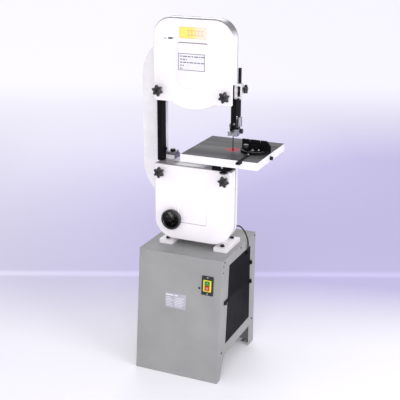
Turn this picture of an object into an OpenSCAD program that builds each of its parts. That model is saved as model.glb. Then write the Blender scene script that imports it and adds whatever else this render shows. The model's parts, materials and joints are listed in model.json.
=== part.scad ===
// Fourteen inch wood band saw on a folded sheet steel stand.
// Millimetres, +X to the operator's right, +Y away from the operator, +Z up.
// The origin is the middle of the four floor bolt holes, on the floor.

/* [Stand] */
// Width of the stand across its side panels
stand_w = 430; // [400:1:500]
// Height of the stand to its top face
stand_h = 606; // [560:1:680]
// Depth of the stand on the floor
stand_base_d = 495; // [470:1:560]
// How far the front panel leans back from floor to top
front_lean = 61; // [30:1:80]
// Sheet thickness of the stand
sheet = 2; // [1.5:0.1:3]
// Height of the motor shelf's top face
shelf_z = 165; // [140:1:200]
// Width of the front stile beside the side opening
front_stile = 86; // [70:1:95]
// Width of the rear stile beside the side opening
back_stile = 70; // [60:1:80]
// Height of the legs below the side rail
leg_h = 113; // [80:1:125]
// Diameter of the floor bolt holes
floor_hole_d = 11; // [8:0.5:14]
// Distance of the floor bolt holes in from the side faces
floor_hole_in = 32; // [28:1:40]

/* [Wheels and blade] */
// Distance of the wheel axis right of the stand's middle
machine_x = 10.5; // [0:0.5:20]
// Wheel diameter over the rubber tyre
wheel_d = 355; // [340:1:360]
// Width of the wheel rim
wheel_w = 28; // [22:1:32]
// Thickness of the rubber tyre
tyre_t = 4; // [3:0.5:6]
// Distance between the two wheel axes
wheel_gap = 665; // [650:1:690]
// Height of the lower wheel axis above the stand
lower_axle_h = 216; // [212:1:219]
// Width of the blade
blade_w = 12.7; // [6:0.1:19]
// Thickness of the blade
blade_t = 0.6; // [0.5:0.1:1]

/* [Frame castings] */
// Wall of the wheel housings
cast_wall = 6; // [5:0.5:8]
// Depth of the rim that stands forward of the housing's back wall
rim_d = 28; // [24:1:34]
// Thickness of that rim
rim_t = 4; // [3:0.5:5]
// Width of the column beside the throat
column_w = 102; // [80:1:110]
// Depth of the column from front to back
column_d = 65; // [50:1:80]
// Height of the joint between the two castings above the stand
joint_h = 402; // [396:1:408]

/* [Covers] */
// Half width of the wheel covers
cover_half = 195; // [192:1:200]
// Depth of the wheel covers
cover_d = 60; // [52:1:70]
// Sheet thickness of the covers
cover_t = 2.5; // [1.5:0.5:4]
// Diameter of the star knobs
knob_d = 54; // [44:1:56]
// Diameter of the knob studs
stud_d = 8; // [6:0.5:8]
// Outside diameter of the dust port
dust_d = 96; // [80:1:104]
// Length of the dust port in front of the cover
dust_len = 20; // [12:1:30]

/* [Table] */
// Side of the square table
table_w = 370; // [350:1:400]
// Height of the table's top face above the stand
table_h = 489; // [485:1:495]
// Depth of the table's rim
table_rim = 36; // [30:1:38]
// Thickness of the table plate
table_t = 14; // [13:0.5:16]
// Diameter of the table insert
insert_d = 68; // [60:1:72]
// Width of the mitre slot
slot_w = 19; // [16:0.5:20]
// Depth of the mitre slot
slot_d = 9.5; // [8:0.5:10]
// Distance of the mitre slot right of the blade
slot_off = 101; // [95:1:115]
// Radius of the trunnions that the table tilts on
trunnion_r = 68; // [64:1:70]

/* [Guides] */
// Diameter of the guide post
post_d = 16; // [12:1:18]
// Length of the guide post
post_len = 262; // [250:1:275]
// Height of the upper guide blocks above the table
guide_h = 65; // [60:1:75]

/* [Clearances] */
// Running clearance on a radius
run_gap = 0.1; // [0.05:0.01:0.1]
// Clearance between faces that slide or rest near each other
face_gap = 0.3; // [0.2:0.05:0.5]
// Extra diameter of a bolt's clearance hole
bolt_gap = 1; // [0.5:0.1:2]

/* [Hidden] */
$fn = 48;
eps = 0.05;

// stand
side_x = stand_w/2;
back_y = stand_base_d/2;
toe_y = -stand_base_d/2;
front_y = toe_y + front_lean;
lean = atan(front_lean/stand_h);
floor_hole_x = side_x - floor_hole_in;
floor_hole_y = back_y - 24;
foot_t = 3;
rail_top = shelf_z;
open_top = stand_h - 49;
lip = 22;
shelf_x = side_x - sheet;
hinge_x = side_x + 5;
hinge_y = back_y - back_stile + 3;
hinge_z = [365, 467];
latch_z = 386;
lead_notch_y = 125;
latch_y = toe_y + latch_z*tan(lean) + front_stile - 37;

// machine
axle_z = stand_h + lower_axle_h;
top_axle_z = axle_z + wheel_gap;
case_y = -20;
slide_y = 0;
wheel_r = wheel_d/2;
rim_r = wheel_r - tyre_t;
wall_y = case_y + rim_d - cast_wall;
back_face = case_y + rim_d;
loop_r = wheel_r + run_gap;
blade_x = machine_x + loop_r + blade_t/2;
blade_front = case_y + 2 - blade_w/2;
blade_back = blade_front + blade_w;
blade_y = case_y + 2;
return_x = machine_x - loop_r - blade_t/2;
table_z = stand_h + table_h;
joint_z = stand_h + joint_h;

// housing outlines
upper_bottom = top_axle_z - 181;
upper_top = top_axle_z + 201;
belly_r = 212;
lower_bottom = axle_z - 186;
lower_top = joint_z - 1;
corner_top = 88;
corner_bottom = 95;
cover_front = case_y - cover_d;
column_x = machine_x - 292.5;
sweep_r = 200;
joint_bolt_x = column_x + column_w + 40;

// knobs: x and z of each cover knob
upper_knobs = [[machine_x - 163.5, top_axle_z - 131], [machine_x + 164.5, top_axle_z - 136]];
lower_knobs = [[machine_x - 160.5, axle_z + 144], [machine_x + 167, axle_z + 138]];
knob_t = 22;
knob_neck = 14;
boss_d = 16;

// guide post
post_x = machine_x + 190.5;
post_y = 22;
post_top = table_z + guide_h + 45 + post_len;
carrier_z = table_z + guide_h + 38;
carrier_h = 42;
boss_z = top_axle_z - 160;
boss_h = 68;
lock_z = boss_z + 44;
guard_x = blade_x - 7;
guard_w = 26;
guard_y = case_y - 12;
guide_z = table_z + guide_h;
thrust_z = guide_z + 43;
bearing_d = 24;
bearing_t = 8;

// table and tilt
table_x = blade_x - 188;
table_y = case_y - 166;
slot_x = blade_x + slot_off;
saddle_w = 24;
front_saddle_y = case_y - 98;
rear_saddle_y = case_y + 64;
saddle_t = 10;
bridge_x0 = blade_x - 70;
bridge_x1 = blade_x - 24;
bridge_z = joint_z + 2;
bridge_h = 18;
tilt_knob_d = 44;
tilt_knob_x = blade_x - 9;

// mitre gauge
bar_len = 400;
bar_y = table_y - 32;
head_y = 0;
head_r = 66;
fence_l = 138;
fence_h = 46;

// drive
shaft_d = 25;
driven_r = 88;
driver_r = 30;
pulley_w = 20;
pulley_y = 74;
motor_x = 38;
motor_r = 80;
motor_z = shelf_z + motor_r + 12;
motor_y0 = -150;
motor_y1 = 55;
motor_box_x = motor_x + motor_r + 9;
shaft_end = pulley_y + pulley_w + 4;

// feet and bolts
pad_h = 20;
pad_in = 108;
pad_out = 176;
rib_in = 122;
pad_x = machine_x + 6;
pad_y0 = -85;
pad_y1 = 90;
foot_bolts_y = [-58, 66];

// switch on the leaning front panel
switch_x = 144.5;
switch_z = 477;
switch_w = 59;
switch_h = 94;

// lead between the casting and the motor
lead_d = 7;
lead_route = [[168, 44, 690], [178, 49, 694], [189, 59, 696], [199, 72, 689], [208, 86, 672],
    [215, 99, 650], [220, 110, 626], [223, 118, 602], [223, 122, 580], [221, 124, 560],
    [215, 125, 547], [205, 126, 540], [193, 126, 537], [181, 123, 535], [170, 117, 529],
    [162, 108, 516], [158, 97, 496], [158, 84, 470], [159, 68, 436], [160, 50, 400],
    [161, 32, 364], [160, 14, 331], [157, 0, 308], [151, -10, 295], [143, -15, 290],
    [136, -16, 289]];
gland_l = 10;

// ---- shared shapes ----

module rod_x(x0, x1, y, z, r) { translate([x0, y, z]) rotate([0, 90, 0]) cylinder(h = x1 - x0, r = r); }
module rod_y(y0, y1, x, z, r) { translate([x, y1, z]) rotate([90, 0, 0]) cylinder(h = y1 - y0, r = r); }
module rod_z(z0, z1, x, y, r) { translate([x, y, z0]) cylinder(h = z1 - z0, r = r); }
module hex_z(z0, z1, x, y, across) {
    translate([x, y, z0]) cylinder(h = z1 - z0, r = across/sqrt(3), $fn = 6);
}
module hex_y(y0, y1, x, z, across) {
    translate([x, y1, z]) rotate([90, 0, 0]) cylinder(h = y1 - y0, r = across/sqrt(3), $fn = 6);
}
module box(a, b) { translate(a) cube(b - a); }

// an outline in X and Z, carried from y0 to y1
module along_y(y0, y1) { translate([0, y1, 0]) rotate([90, 0, 0]) linear_extrude(y1 - y0) children(); }
// an outline in X and Y, carried from z0 to z1
module along_z(z0, z1) { translate([0, 0, z0]) linear_extrude(z1 - z0) children(); }
// an outline in Y and Z, carried from x0 to x1
module along_x(x0, x1) { translate([x0, 0, 0]) rotate([90, 0, 90]) linear_extrude(x1 - x0) children(); }

module rounded(x0, z0, x1, z1, rb, rt) {
    translate([x0, z0 + rb]) square([x1 - x0, z1 - z0 - rb - rt]);
    translate([x0 + rb, z0]) square([x1 - x0 - 2*rb, rb + eps]);
    translate([x0 + rt, z1 - rt - eps]) square([x1 - x0 - 2*rt, rt + eps]);
    for (x = [x0 + rb, x1 - rb]) translate([x, z0 + rb]) circle(rb);
    for (x = [x0 + rt, x1 - rt]) translate([x, z1 - rt]) circle(rt);
}

// a lobed hand knob on the axis y, its face toward -y
module star_knob(x, z, y_front, d, t, neck) {
    rod_y(y_front, y_front + t, x, z, d*0.34);
    for (i = [0:5])
        rod_y(y_front + 2, y_front + t - 1, x + d*0.36*cos(60*i + 30), z + d*0.36*sin(60*i + 30), d*0.14);
    rod_y(y_front + t - eps, y_front + t + neck, x, z, d*0.2);
}

// a place on the outer face of the leaning front panel
module on_front(x, z) {
    translate([x, toe_y + z*tan(lean), z]) rotate([-lean, 0, 0]) children();
}

// a V pulley on the axis y between y0 and y1
module pulley(x, z, r, y0, y1) {
    groove = 8;
    translate([x, (y0 + y1)/2, z]) rotate([90, 0, 0]) rotate_extrude($fn = 96)
        polygon([[0, -(y1 - y0)/2], [r + 4, -(y1 - y0)/2], [r + 4, -groove*0.8], [r - groove, -groove*0.45],
            [r - groove, groove*0.45], [r + 4, groove*0.8], [r + 4, (y1 - y0)/2], [0, (y1 - y0)/2]]);
}

// ---- stand ----

module side_outline() {
    polygon([[toe_y, 0], [back_y, 0], [back_y, stand_h - sheet], [front_y, stand_h - sheet]]);
}

// the front edge of the side panel at height z
function slope_y(z) = toe_y + z*tan(lean);

module opening_outline(gap) {
    polygon([[slope_y(rail_top) + front_stile + gap, rail_top + gap],
        [back_y - back_stile - gap, rail_top + gap],
        [back_y - back_stile - gap, open_top - gap],
        [slope_y(open_top) + front_stile + gap, open_top - gap]]);
}

module leg_gap() {
    polygon([[slope_y(0) + front_stile - 50, -1], [back_y - back_stile, -1], [back_y - back_stile, leg_h],
        [slope_y(leg_h) + front_stile - 8, leg_h]]);
}

module foot_flanges(side) {
    for (y = [-floor_hole_y, floor_hole_y]) difference() {
        box([min(side*(side_x - sheet), side*(side_x - 52)), y - 16, 0],
            [max(side*(side_x - sheet), side*(side_x - 52)), y + 16, foot_t]);
        rod_z(-1, foot_t + 1, side*floor_hole_x, y, floor_hole_d/2);
    }
}

module stand_left() {
    color("darkgray") {
        difference() {
            along_x(-side_x, -side_x + sheet) difference() {
                side_outline();
                leg_gap();
            }
            for (i = [0:5]) box([-side_x - 1, -70, 420 + 18*i], [-side_x + sheet + 1, 70, 424 + 18*i]);
        }
        foot_flanges(-1);
    }
}

module stand_right() {
    color("darkgray") {
        along_x(side_x - sheet, side_x) difference() {
            side_outline();
            leg_gap();
            opening_outline(0);
            translate([latch_y, latch_z]) circle(4);
        }
        foot_flanges(1);
        // pins of the side door's hinges
        for (z = hinge_z) {
            rod_z(z - 14, z + 14, hinge_x, hinge_y, 2.5);
            for (s = [-12, 12]) box([side_x - eps, hinge_y - 1, z + s - 2], [hinge_x, hinge_y + 10, z + s + 2]);
        }
    }
}

module stand_front() {
    color("darkgray") difference() {
        along_x(-side_x + sheet, side_x - sheet)
            polygon([[toe_y, 0], [toe_y + sheet, 0], [front_y + sheet, stand_h - sheet],
                [front_y, stand_h - sheet]]);
        on_front(switch_x, switch_z) box([-20, -5, -36], [20, 10, 36]);
    }
}

module stand_back() {
    color("darkgray") difference() {
        box([-side_x + sheet, back_y - sheet, 0], [side_x - sheet, back_y, stand_h - sheet]);
        for (i = [0:7]) box([-90, back_y - sheet - 1, 380 + 20*i], [90, back_y + 1, 384 + 20*i]);
    }
}

module stand_top() {
    color("darkgray") difference() {
        union() {
            box([-side_x, front_y, stand_h - sheet], [side_x, back_y, stand_h]);
            box([-side_x + sheet, front_y + sheet + 3, stand_h - lip],
                [side_x - sheet, front_y + 2*sheet + 3, stand_h - sheet + eps]);
            box([-side_x + sheet, back_y - 2*sheet, stand_h - lip],
                [side_x - sheet, back_y - sheet, stand_h - sheet + eps]);
            for (x = [-side_x + sheet, side_x - 2*sheet]) box([x, front_y + 12, stand_h - lip],
                [x + sheet, back_y - 12, stand_h - sheet + eps]);
        }
        // slot for the drive belt
        box([machine_x - 80, pulley_y - 8, stand_h - 5], [machine_x + 105, pulley_y + pulley_w + 8, stand_h + 1]);
        foot_bolt_places() rod_z(stand_h - 5, stand_h + 1, 0, 0, 5 + bolt_gap/2);
    }
}

module stand_screws() {
    color("dimgray") {
        for (x = [-side_x - 2, side_x]) for (y = [front_y + 20, 40, back_y - 20])
            rod_x(x, x + 2, y, stand_h - 12, 5);
        for (x = [-side_x - 2, side_x]) for (y = [slope_y(139) + 40, back_y - 30]) rod_x(x, x + 2, y, 139, 5);
    }
}

module motor_shelf() {
    color("darkgray") {
        box([-shelf_x, slope_y(shelf_z) + 10, shelf_z - sheet], [shelf_x, back_y - sheet, shelf_z]);
        for (x = [-shelf_x, shelf_x - sheet])
            box([x, slope_y(shelf_z) + 10, leg_h + 4], [x + sheet, back_y - sheet, shelf_z - sheet + eps]);
    }
}

module motor() {
    color("slategray") {
        rod_y(motor_y0, motor_y1, motor_x, motor_z, motor_r - 8);
        for (i = [0:11]) rotate_about_motor(30*i)
            box([-2, motor_y0 + 30, motor_r - 9], [2, motor_y1 - 30, motor_r]);
        rod_y(motor_y0 - 6, motor_y0 + 24, motor_x, motor_z, motor_r - 2);
        rod_y(motor_y1 - 24, motor_y1, motor_x, motor_z, motor_r - 2);
        for (x = [motor_x - 66, motor_x + 46])
            box([x, motor_y0 + 20, shelf_z], [x + 20, motor_y1 - 20, motor_z - motor_r*0.55]);
        box([motor_x - 66, motor_y0 + 20, shelf_z], [motor_x + 66, motor_y1 - 20, shelf_z + 6]);
        // terminal box
        box([motor_x + motor_r - 12, -55, motor_z - 8], [motor_box_x, 25, motor_z + 56]);
    }
}

module rotate_about_motor(a) {
    translate([motor_x, 0, motor_z]) rotate([0, a, 0]) children();
}

module motor_pulley() {
    color("silver") {
        pulley(motor_x, motor_z, driver_r, pulley_y, pulley_y + pulley_w);
        rod_y(motor_y1 + face_gap, pulley_y + eps, motor_x, motor_z, 9);
    }
}

module driven_pulley() {
    color("silver") difference() {
        pulley(machine_x, axle_z, driven_r, pulley_y, pulley_y + pulley_w);
        rod_y(pulley_y - 1, pulley_y + pulley_w + 1, machine_x, axle_z, shaft_d/2);
        for (i = [0:4]) rod_y(pulley_y - 1, pulley_y + pulley_w + 1,
            machine_x + 48*cos(72*i), axle_z + 48*sin(72*i), 17);
    }
}

module belt_outline(grow) {
    hull() {
        translate([machine_x, axle_z]) circle(driven_r + grow, $fn = 72);
        translate([motor_x, motor_z]) circle(driver_r + grow, $fn = 48);
    }
}

module drive_belt() {
    mid = pulley_y + pulley_w/2;
    color("black") along_y(mid - 3.2, mid + 3.2) difference() {
        belt_outline(1);
        belt_outline(-7);
    }
}

// ---- lower casting, wheel and cover ----

module foot_bolt_places() {
    for (s = [-1, 1]) for (y = foot_bolts_y)
        translate([pad_x + s*(pad_in + pad_out)/2, y, 0]) children();
}

module lower_outline(grow) {
    rounded(machine_x - cover_half - grow, lower_bottom - grow, machine_x + cover_half + grow,
        lower_top + grow, corner_bottom + grow, 12 + grow);
}

module lower_frame() {
    color("white") difference() {
        union() {
            // back wall and rim of the wheel housing
            along_y(wall_y, back_face) lower_outline(-1);
            along_y(case_y, back_face) difference() {
                lower_outline(-1);
                lower_outline(-1 - rim_t);
            }
            // stump of the column and its curved shoulder
            along_y(0, column_d) intersection() {
                union() {
                    translate([column_x, joint_z - 28]) square([column_w + 62, 28]);
                    difference() {
                        translate([column_x + sweep_r, joint_z - 18]) circle(sweep_r, $fn = 96);
                        translate([column_x - 5, joint_z - 18]) square([500, 300]);
                    }
                }
                translate([column_x, joint_z - 210]) square([column_w + 62, 210]);
            }
            // bearing housing and ribs
            rod_y(wall_y, 68, machine_x, axle_z, 42);
            for (a = [0, 60, 120]) translate([machine_x, 0, axle_z]) rotate([0, a, 0])
                box([-150, back_face - 1, -6], [150, back_face + 22, 6]);
            // pedestal and feet
            for (s = [-1, 1]) {
                box([pad_x + s*(pad_in + pad_out)/2 - 34, pad_y0, stand_h],
                    [pad_x + s*(pad_in + pad_out)/2 + 34, pad_y1, stand_h + pad_h]);
                along_x(pad_x + s*rib_in - 8, pad_x + s*rib_in + 8)
                    polygon([[back_face - 2, stand_h + pad_h - 1], [pad_y1 - 8, stand_h + pad_h - 1],
                        [back_face + 26, axle_z - 60], [back_face - 2, axle_z - 60]]);
                along_x(pad_x + s*rib_in - 8, pad_x + s*rib_in + 8)
                    polygon([[case_y + face_gap + 1, stand_h + pad_h - 1], [back_face, stand_h + pad_h - 1],
                        [back_face, lower_bottom + 34], [case_y + face_gap + 1, lower_bottom + 34]]);
            }
            box([pad_x - pad_in - 30, back_face, stand_h + pad_h - 10],
                [pad_x + pad_in + 30, back_face + 12, lower_bottom + 40]);
            // bosses for the cover knobs
            for (k = lower_knobs) rod_y(case_y, wall_y + 1, k[0], k[1], boss_d/2);
            // pad that carries the table bracket
            box([bridge_x0 - 6, case_y + 1, lower_top - 34], [bridge_x1 + 4, rear_saddle_y - 14, bridge_z]);
        }
        // openings for the blade to leave the housing
        for (x = [blade_x, return_x]) box([x - 9, case_y - 1, lower_top - 16], [x + 9, wall_y, joint_z + 1]);
        rod_y(wall_y - 1, 70, machine_x, axle_z, shaft_d/2 + 3);
        rod_y(10, 26, machine_x, axle_z, 26);
        rod_y(50, 69, machine_x, axle_z, 26);
        for (k = lower_knobs) rod_y(case_y - 1, wall_y + 2, k[0], k[1], stud_d/2 + run_gap);
        foot_bolt_places() rod_z(stand_h - 1, stand_h + pad_h + 1, 0, 0, 5 + bolt_gap/2);
        rod_z(joint_z - 40, joint_z + 1, joint_bolt_x, 32, 8 + bolt_gap/2);
        // pocket for that bolt's nut, open at the back
        box([joint_bolt_x - 17, 15, joint_z - 60], [joint_bolt_x + 17, column_d + 1, joint_z - 28]);
        for (y = bracket_bolts_y) rod_z(bridge_z - 22, bridge_z + 1, (bridge_x0 + bridge_x1)/2, y, 4);
    }
}

module frame_bolts() {
    color("dimgray") foot_bolt_places() {
        rod_z(stand_h - 16, stand_h + pad_h + 3, 0, 0, 5);
        rod_z(stand_h + pad_h, stand_h + pad_h + 2, 0, 0, 11);
        hex_z(stand_h + pad_h + 2, stand_h + pad_h + 9, 0, 0, 17);
        hex_z(stand_h - sheet - 8, stand_h - sheet, 0, 0, 17);
    }
    // bolt that joins the two castings
    color("dimgray") {
        rod_z(joint_z - 46, joint_z + 34, joint_bolt_x, 32, 8);
        hex_z(joint_z + 32, joint_z + 43, joint_bolt_x, 32, 24);
        hex_z(joint_z - 41, joint_z - 28, joint_bolt_x, 32, 24);
    }
}

module lower_bearings() {
    color("silver") for (y = [[10, 26], [50, 66]]) difference() {
        rod_y(y[0], y[1], machine_x, axle_z, 26);
        rod_y(y[0] - 1, y[1] + 1, machine_x, axle_z, shaft_d/2 + run_gap/2);
    }
}

module lower_shaft() {
    color("silver") {
        rod_y(case_y - 22, shaft_end, machine_x, axle_z, shaft_d/2);
        rod_y(case_y - 30, case_y - 21, machine_x, axle_z, 9);
    }
}

module wheel(z, bore) {
    half = wheel_w/2;
    color("gray") translate([machine_x, case_y, z]) rotate([90, 0, 0]) difference() {
        rotate_extrude($fn = 120) union() {
            translate([rim_r - 8, -half]) square([8, wheel_w]);
            translate([24, -4]) square([rim_r - 30, 8]);
            translate([bore, -half - 2]) square([30 - bore, wheel_w + 2]);
        }
        for (i = [0:5]) translate([96*cos(60*i), 96*sin(60*i), -10]) cylinder(h = 20, r = 34);
    }
}

module tyre(z) {
    color("orange") translate([machine_x, case_y, z]) rotate([90, 0, 0]) rotate_extrude($fn = 120)
        translate([rim_r, -wheel_w/2]) square([tyre_t, wheel_w]);
}

module lower_wheel() { wheel(axle_z, shaft_d/2); }
module lower_tyre() { tyre(axle_z); }
module upper_wheel() { wheel(top_axle_z, 10 + run_gap); }
module upper_tyre() { tyre(top_axle_z); }

module cover_knob_holes(knobs) {
    for (k = knobs) rod_y(cover_front - 2, case_y + 1, k[0], k[1], stud_d/2 + 1);
}

module raised_panel(x0, z0, x1, z1, rb, rt) {
    along_y(cover_front - 1.5, cover_front + eps) difference() {
        rounded(x0, z0, x1, z1, rb, rt);
        rounded(x0 + 3, z0 + 3, x1 - 3, z1 - 3, rb - 3, rt - 3);
    }
}

module lower_cover() {
    color("white") {
        difference() {
            along_y(cover_front, case_y - face_gap) lower_outline(0);
            along_y(cover_front + cover_t, case_y + 1) lower_outline(-cover_t);
            for (x = [blade_x, return_x]) box([x - 9, case_y - 26, joint_z - 16], [x + 9, case_y + 1, joint_z + 1]);
            rod_y(cover_front - 1, cover_front + 5, dust_x, dust_z, dust_d/2 - 8);
            cover_knob_holes(lower_knobs);
        }
        difference() {
            raised_panel(machine_x - 71, axle_z - 98, machine_x + 76, axle_z + 129, 12, 12);
            rod_y(cover_front - 3, cover_front + 1, dust_x, dust_z, dust_d/2 + 2);
        }
    }
}

dust_x = machine_x - 103;
dust_z = axle_z - 85;

module dust_port() {
    color("black") difference() {
        union() {
            rod_y(cover_front - dust_len, cover_front, dust_x, dust_z, dust_d/2);
            rod_y(cover_front - dust_len - 3, cover_front - dust_len + 3, dust_x, dust_z, dust_d/2 + 1.5);
            rod_y(cover_front - eps, cover_front + 14, dust_x, dust_z, dust_d/2 - 8 - face_gap);
        }
        rod_y(cover_front - dust_len - 4, cover_front + 15, dust_x, dust_z, dust_d/2 - 11);
    }
}

module cover_knob(k) {
    color("black") star_knob(k[0], k[1], cover_front - face_gap - knob_t - knob_neck, knob_d, knob_t, knob_neck);
    color("silver") rod_y(cover_front - face_gap - eps, wall_y, k[0], k[1], stud_d/2);
}

module cover_knob_1() { cover_knob(upper_knobs[0]); }
module cover_knob_2() { cover_knob(upper_knobs[1]); }
module cover_knob_3() { cover_knob(lower_knobs[0]); }
module cover_knob_4() { cover_knob(lower_knobs[1]); }

// ---- upper casting, wheel and cover ----

module upper_outline(grow, side) {
    rounded(machine_x - side - grow, upper_bottom - grow, machine_x + side + grow, upper_top + grow,
        8 + grow, corner_top + grow);
    intersection() {
        translate([machine_x, top_axle_z]) circle(belly_r + grow, $fn = 120);
        translate([machine_x - side + 20, upper_bottom - 60]) square([2*side - 40, 200]);
    }
}

module upper_frame() {
    inner = cover_half - 9;
    color("white") difference() {
        union() {
            along_y(wall_y, back_face) upper_outline(-1, inner);
            along_y(case_y, back_face) difference() {
                upper_outline(-1, inner);
                upper_outline(-1 - rim_t, inner);
            }
            // column, its curved top and the foot that bolts to the lower casting
            along_y(0, column_d) {
                translate([column_x, joint_z]) square([column_w, top_axle_z - 87 - joint_z]);
                intersection() {
                    translate([column_x + sweep_r, top_axle_z - 88]) circle(sweep_r, $fn = 96);
                    translate([column_x, top_axle_z - 88]) square([column_w + 30, sweep_r]);
                }
            }
            box([column_x + column_w - 1, back_face - 1, upper_bottom + 40],
                [column_x + column_w + 40, column_d, top_axle_z + 70]);
            box([column_x + column_w - 1, 0, joint_z], [column_x + column_w + 62, column_d, joint_z + 20]);
            box([column_x + column_w + 20, 6, joint_z + 19], [column_x + column_w + 58, column_d - 4, joint_z + 32]);
            // ways that carry the wheel slide
            box([machine_x - 60, back_face - 1, top_axle_z - 90], [machine_x + 60, 46, top_axle_z + 150]);
            box([column_x + column_w + 20, back_face - 1, top_axle_z - 34], [machine_x - 50, 46, top_axle_z + 34]);
            // boss for the guide post
            box([post_x - 24, back_face - 1, boss_z], [post_x + 16, post_y + 14, boss_z + boss_h]);
            for (k = upper_knobs) rod_y(case_y, wall_y + 1, k[0], k[1], boss_d/2);
        }
        box([machine_x - 38, case_y + 14, top_axle_z - 70], [machine_x + 38, 50, top_axle_z + 100]);
        rod_z(top_axle_z + 99, top_axle_z + 151, machine_x, 30, 6 + run_gap);
        rod_z(boss_z - 1, boss_z + boss_h + 1, post_x, post_y, post_d/2 + run_gap);
        rod_x(post_x, post_x + 20, post_y, lock_z, stud_d/2 + run_gap);
        // window that shows the front of the post
        box([post_x - 9, back_face - 2, boss_z + 10], [post_x + 9, post_y - 3, boss_z + boss_h - 10]);
        for (k = upper_knobs) rod_y(case_y - 1, wall_y + 2, k[0], k[1], stud_d/2 + run_gap);
        for (x = [blade_x - 5, return_x]) box([x - 12, case_y - 1, upper_bottom - 40],
            [x + 18, wall_y, upper_bottom + 12]);
        rod_z(joint_z - 1, joint_z + 40, joint_bolt_x, 32, 8 + bolt_gap/2);
        // lightening recess down the back of the column
        box([column_x + 12, 16, joint_z + 30], [column_x + column_w - 12, column_d + 1, top_axle_z - 100]);
    }
}

module upper_cover() {
    color("white") {
        difference() {
            along_y(cover_front, case_y - face_gap) upper_outline(0, cover_half);
            along_y(cover_front + cover_t, case_y + 1) upper_outline(-cover_t, cover_half);
            // slot that lets the blade guard rise beside the wheel
            box([guard_x - 4, cover_front + cover_t + 4, upper_bottom - 60],
                [machine_x + cover_half + 2, case_y + 1, guard_slot_top]);
            box([return_x - 12, case_y - 26, upper_bottom - 10], [return_x + 12, case_y + 1, upper_bottom + 12]);
            cover_knob_holes(upper_knobs);
        }
        raised_panel(machine_x - 71, top_axle_z - 113, machine_x + 76, top_axle_z + 92, 45, 10);
    }
}

guard_slot_top = table_z + guide_h + 173 + 70;

module cover_labels() {
    color("gold") along_y(cover_front - 0.8, cover_front) rounded(machine_x - 64, top_axle_z + 110,
        machine_x + 70, top_axle_z + 162, 4, 4);
    color("whitesmoke") along_y(cover_front - 0.8, cover_front) rounded(machine_x - 66, top_axle_z - 32,
        machine_x + 66, top_axle_z + 46, 2, 2);
}

module wheel_slide() {
    color("dimgray") difference() {
        box([machine_x - 38 + face_gap, slide_y, top_axle_z - 54],
            [machine_x + 38 - face_gap, 46, top_axle_z + 60]);
        box([machine_x - 26, slide_y - 1, top_axle_z - 38], [machine_x + 26, 47, top_axle_z + 30]);
        box([machine_x - 26, slide_y - 1, top_axle_z - 48], [machine_x + 26, 32, top_axle_z - 37]);
        rod_z(top_axle_z + 29, top_axle_z + 61, machine_x, 30, 6 + run_gap);
        rod_x(machine_x - 36, machine_x + 36, 24, top_axle_z + 22, 4 + run_gap);
        rod_y(20, 48, machine_x, top_axle_z - 43, 3 + run_gap);
    }
}

module wheel_hinge() {
    color("silver") {
        difference() {
            union() {
                box([machine_x - 26 + face_gap, 12, top_axle_z - 31],
                    [machine_x + 26 - face_gap, 36, top_axle_z + 29]);
                box([machine_x - 20, 12, top_axle_z - 46], [machine_x + 20, 29, top_axle_z - 30]);
            }
            rod_x(machine_x - 30, machine_x + 30, 24, top_axle_z + 22, 4);
        }
        rod_x(machine_x - 35, machine_x + 35, 24, top_axle_z + 22, 4);
        rod_y(case_y - 20, 13, machine_x, top_axle_z, 10);
        rod_y(case_y - 24, case_y - 18, machine_x, top_axle_z, 15);
    }
}

module tracking_knob() {
    y = 50;
    z = top_axle_z - 43;
    color("silver") rod_y(31.6, y + 1, machine_x, z, 3);
    color("black") {
        rod_y(y, y + 14, machine_x, z, 15);
        for (i = [0:7]) rod_y(y, y + 14, machine_x + 14*cos(45*i), z + 14*sin(45*i), 4);
    }
}

module tension_screw() {
    z = top_axle_z + 152;
    color("silver") rod_z(top_axle_z + 62, z + 1, machine_x, 30, 6);
    color("black") {
        rod_z(z, z + 14, machine_x, 30, 12);
        for (a = [0, 90]) translate([machine_x, 30, z + 3]) rotate([0, 0, a + 45])
            translate([-20, -4, 0]) cube([40, 8, 8]);
        translate([machine_x, 30, z + 2]) difference() {
            cylinder(h = 10, r = 21.5);
            translate([0, 0, -1]) cylinder(h = 12, r = 16);
        }
    }
}

module tension_spring() {
    turns = 4.5;
    wire = 1.6;
    low = top_axle_z + 60 + wire + face_gap;
    rise = 40 - 2*wire - 2*face_gap;
    steps = 72;
    color("gray") tube([for (i = [0:steps]) let (a = 360*turns*i/steps)
        [machine_x + 10*cos(a), 30 + 10*sin(a), low + rise*i/steps]], wire, 8);
}

module blade_loop(r) {
    translate([machine_x, axle_z]) circle(r, $fn = 180);
    translate([machine_x, top_axle_z]) circle(r, $fn = 180);
    translate([machine_x - r, axle_z]) square([2*r, wheel_gap]);
}

module blade() {
    color("silver") along_y(blade_front, blade_back) difference() {
        blade_loop(loop_r + blade_t);
        blade_loop(loop_r);
    }
}

module return_guard() {
    x0 = return_x - 17;
    x1 = return_x + 7;
    z0 = joint_z + 1;
    z1 = upper_bottom - 2;
    color("black") {
        difference() {
            box([x0, case_y - 25, z0], [x1, -face_gap, z1]);
            box([x0 + 2, case_y - 23, z0 - 1], [x1 - 2, 0, z1 + 1]);
        }
        rod_x(x1, x1 + 7, -12, joint_z + 52, 9);
    }
}

// ---- guide post and guides ----

module guide_post() {
    color("black") rod_z(carrier_z + 2, post_top, post_x, post_y, post_d/2);
}

module post_lock_knob() {
    z = lock_z;
    x = post_x + 16 + face_gap;
    color("silver") rod_x(post_x + post_d/2 + face_gap, x + 4, post_y, z, stud_d/2);
    color("black") translate([x + 3, post_y, z]) rotate([0, 90, 0]) {
        cylinder(h = 19, r = 15);
        for (i = [0:5]) rotate([0, 0, 60*i]) translate([17, 0, 2]) cylinder(h = 15, r = 6);
    }
}

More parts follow.
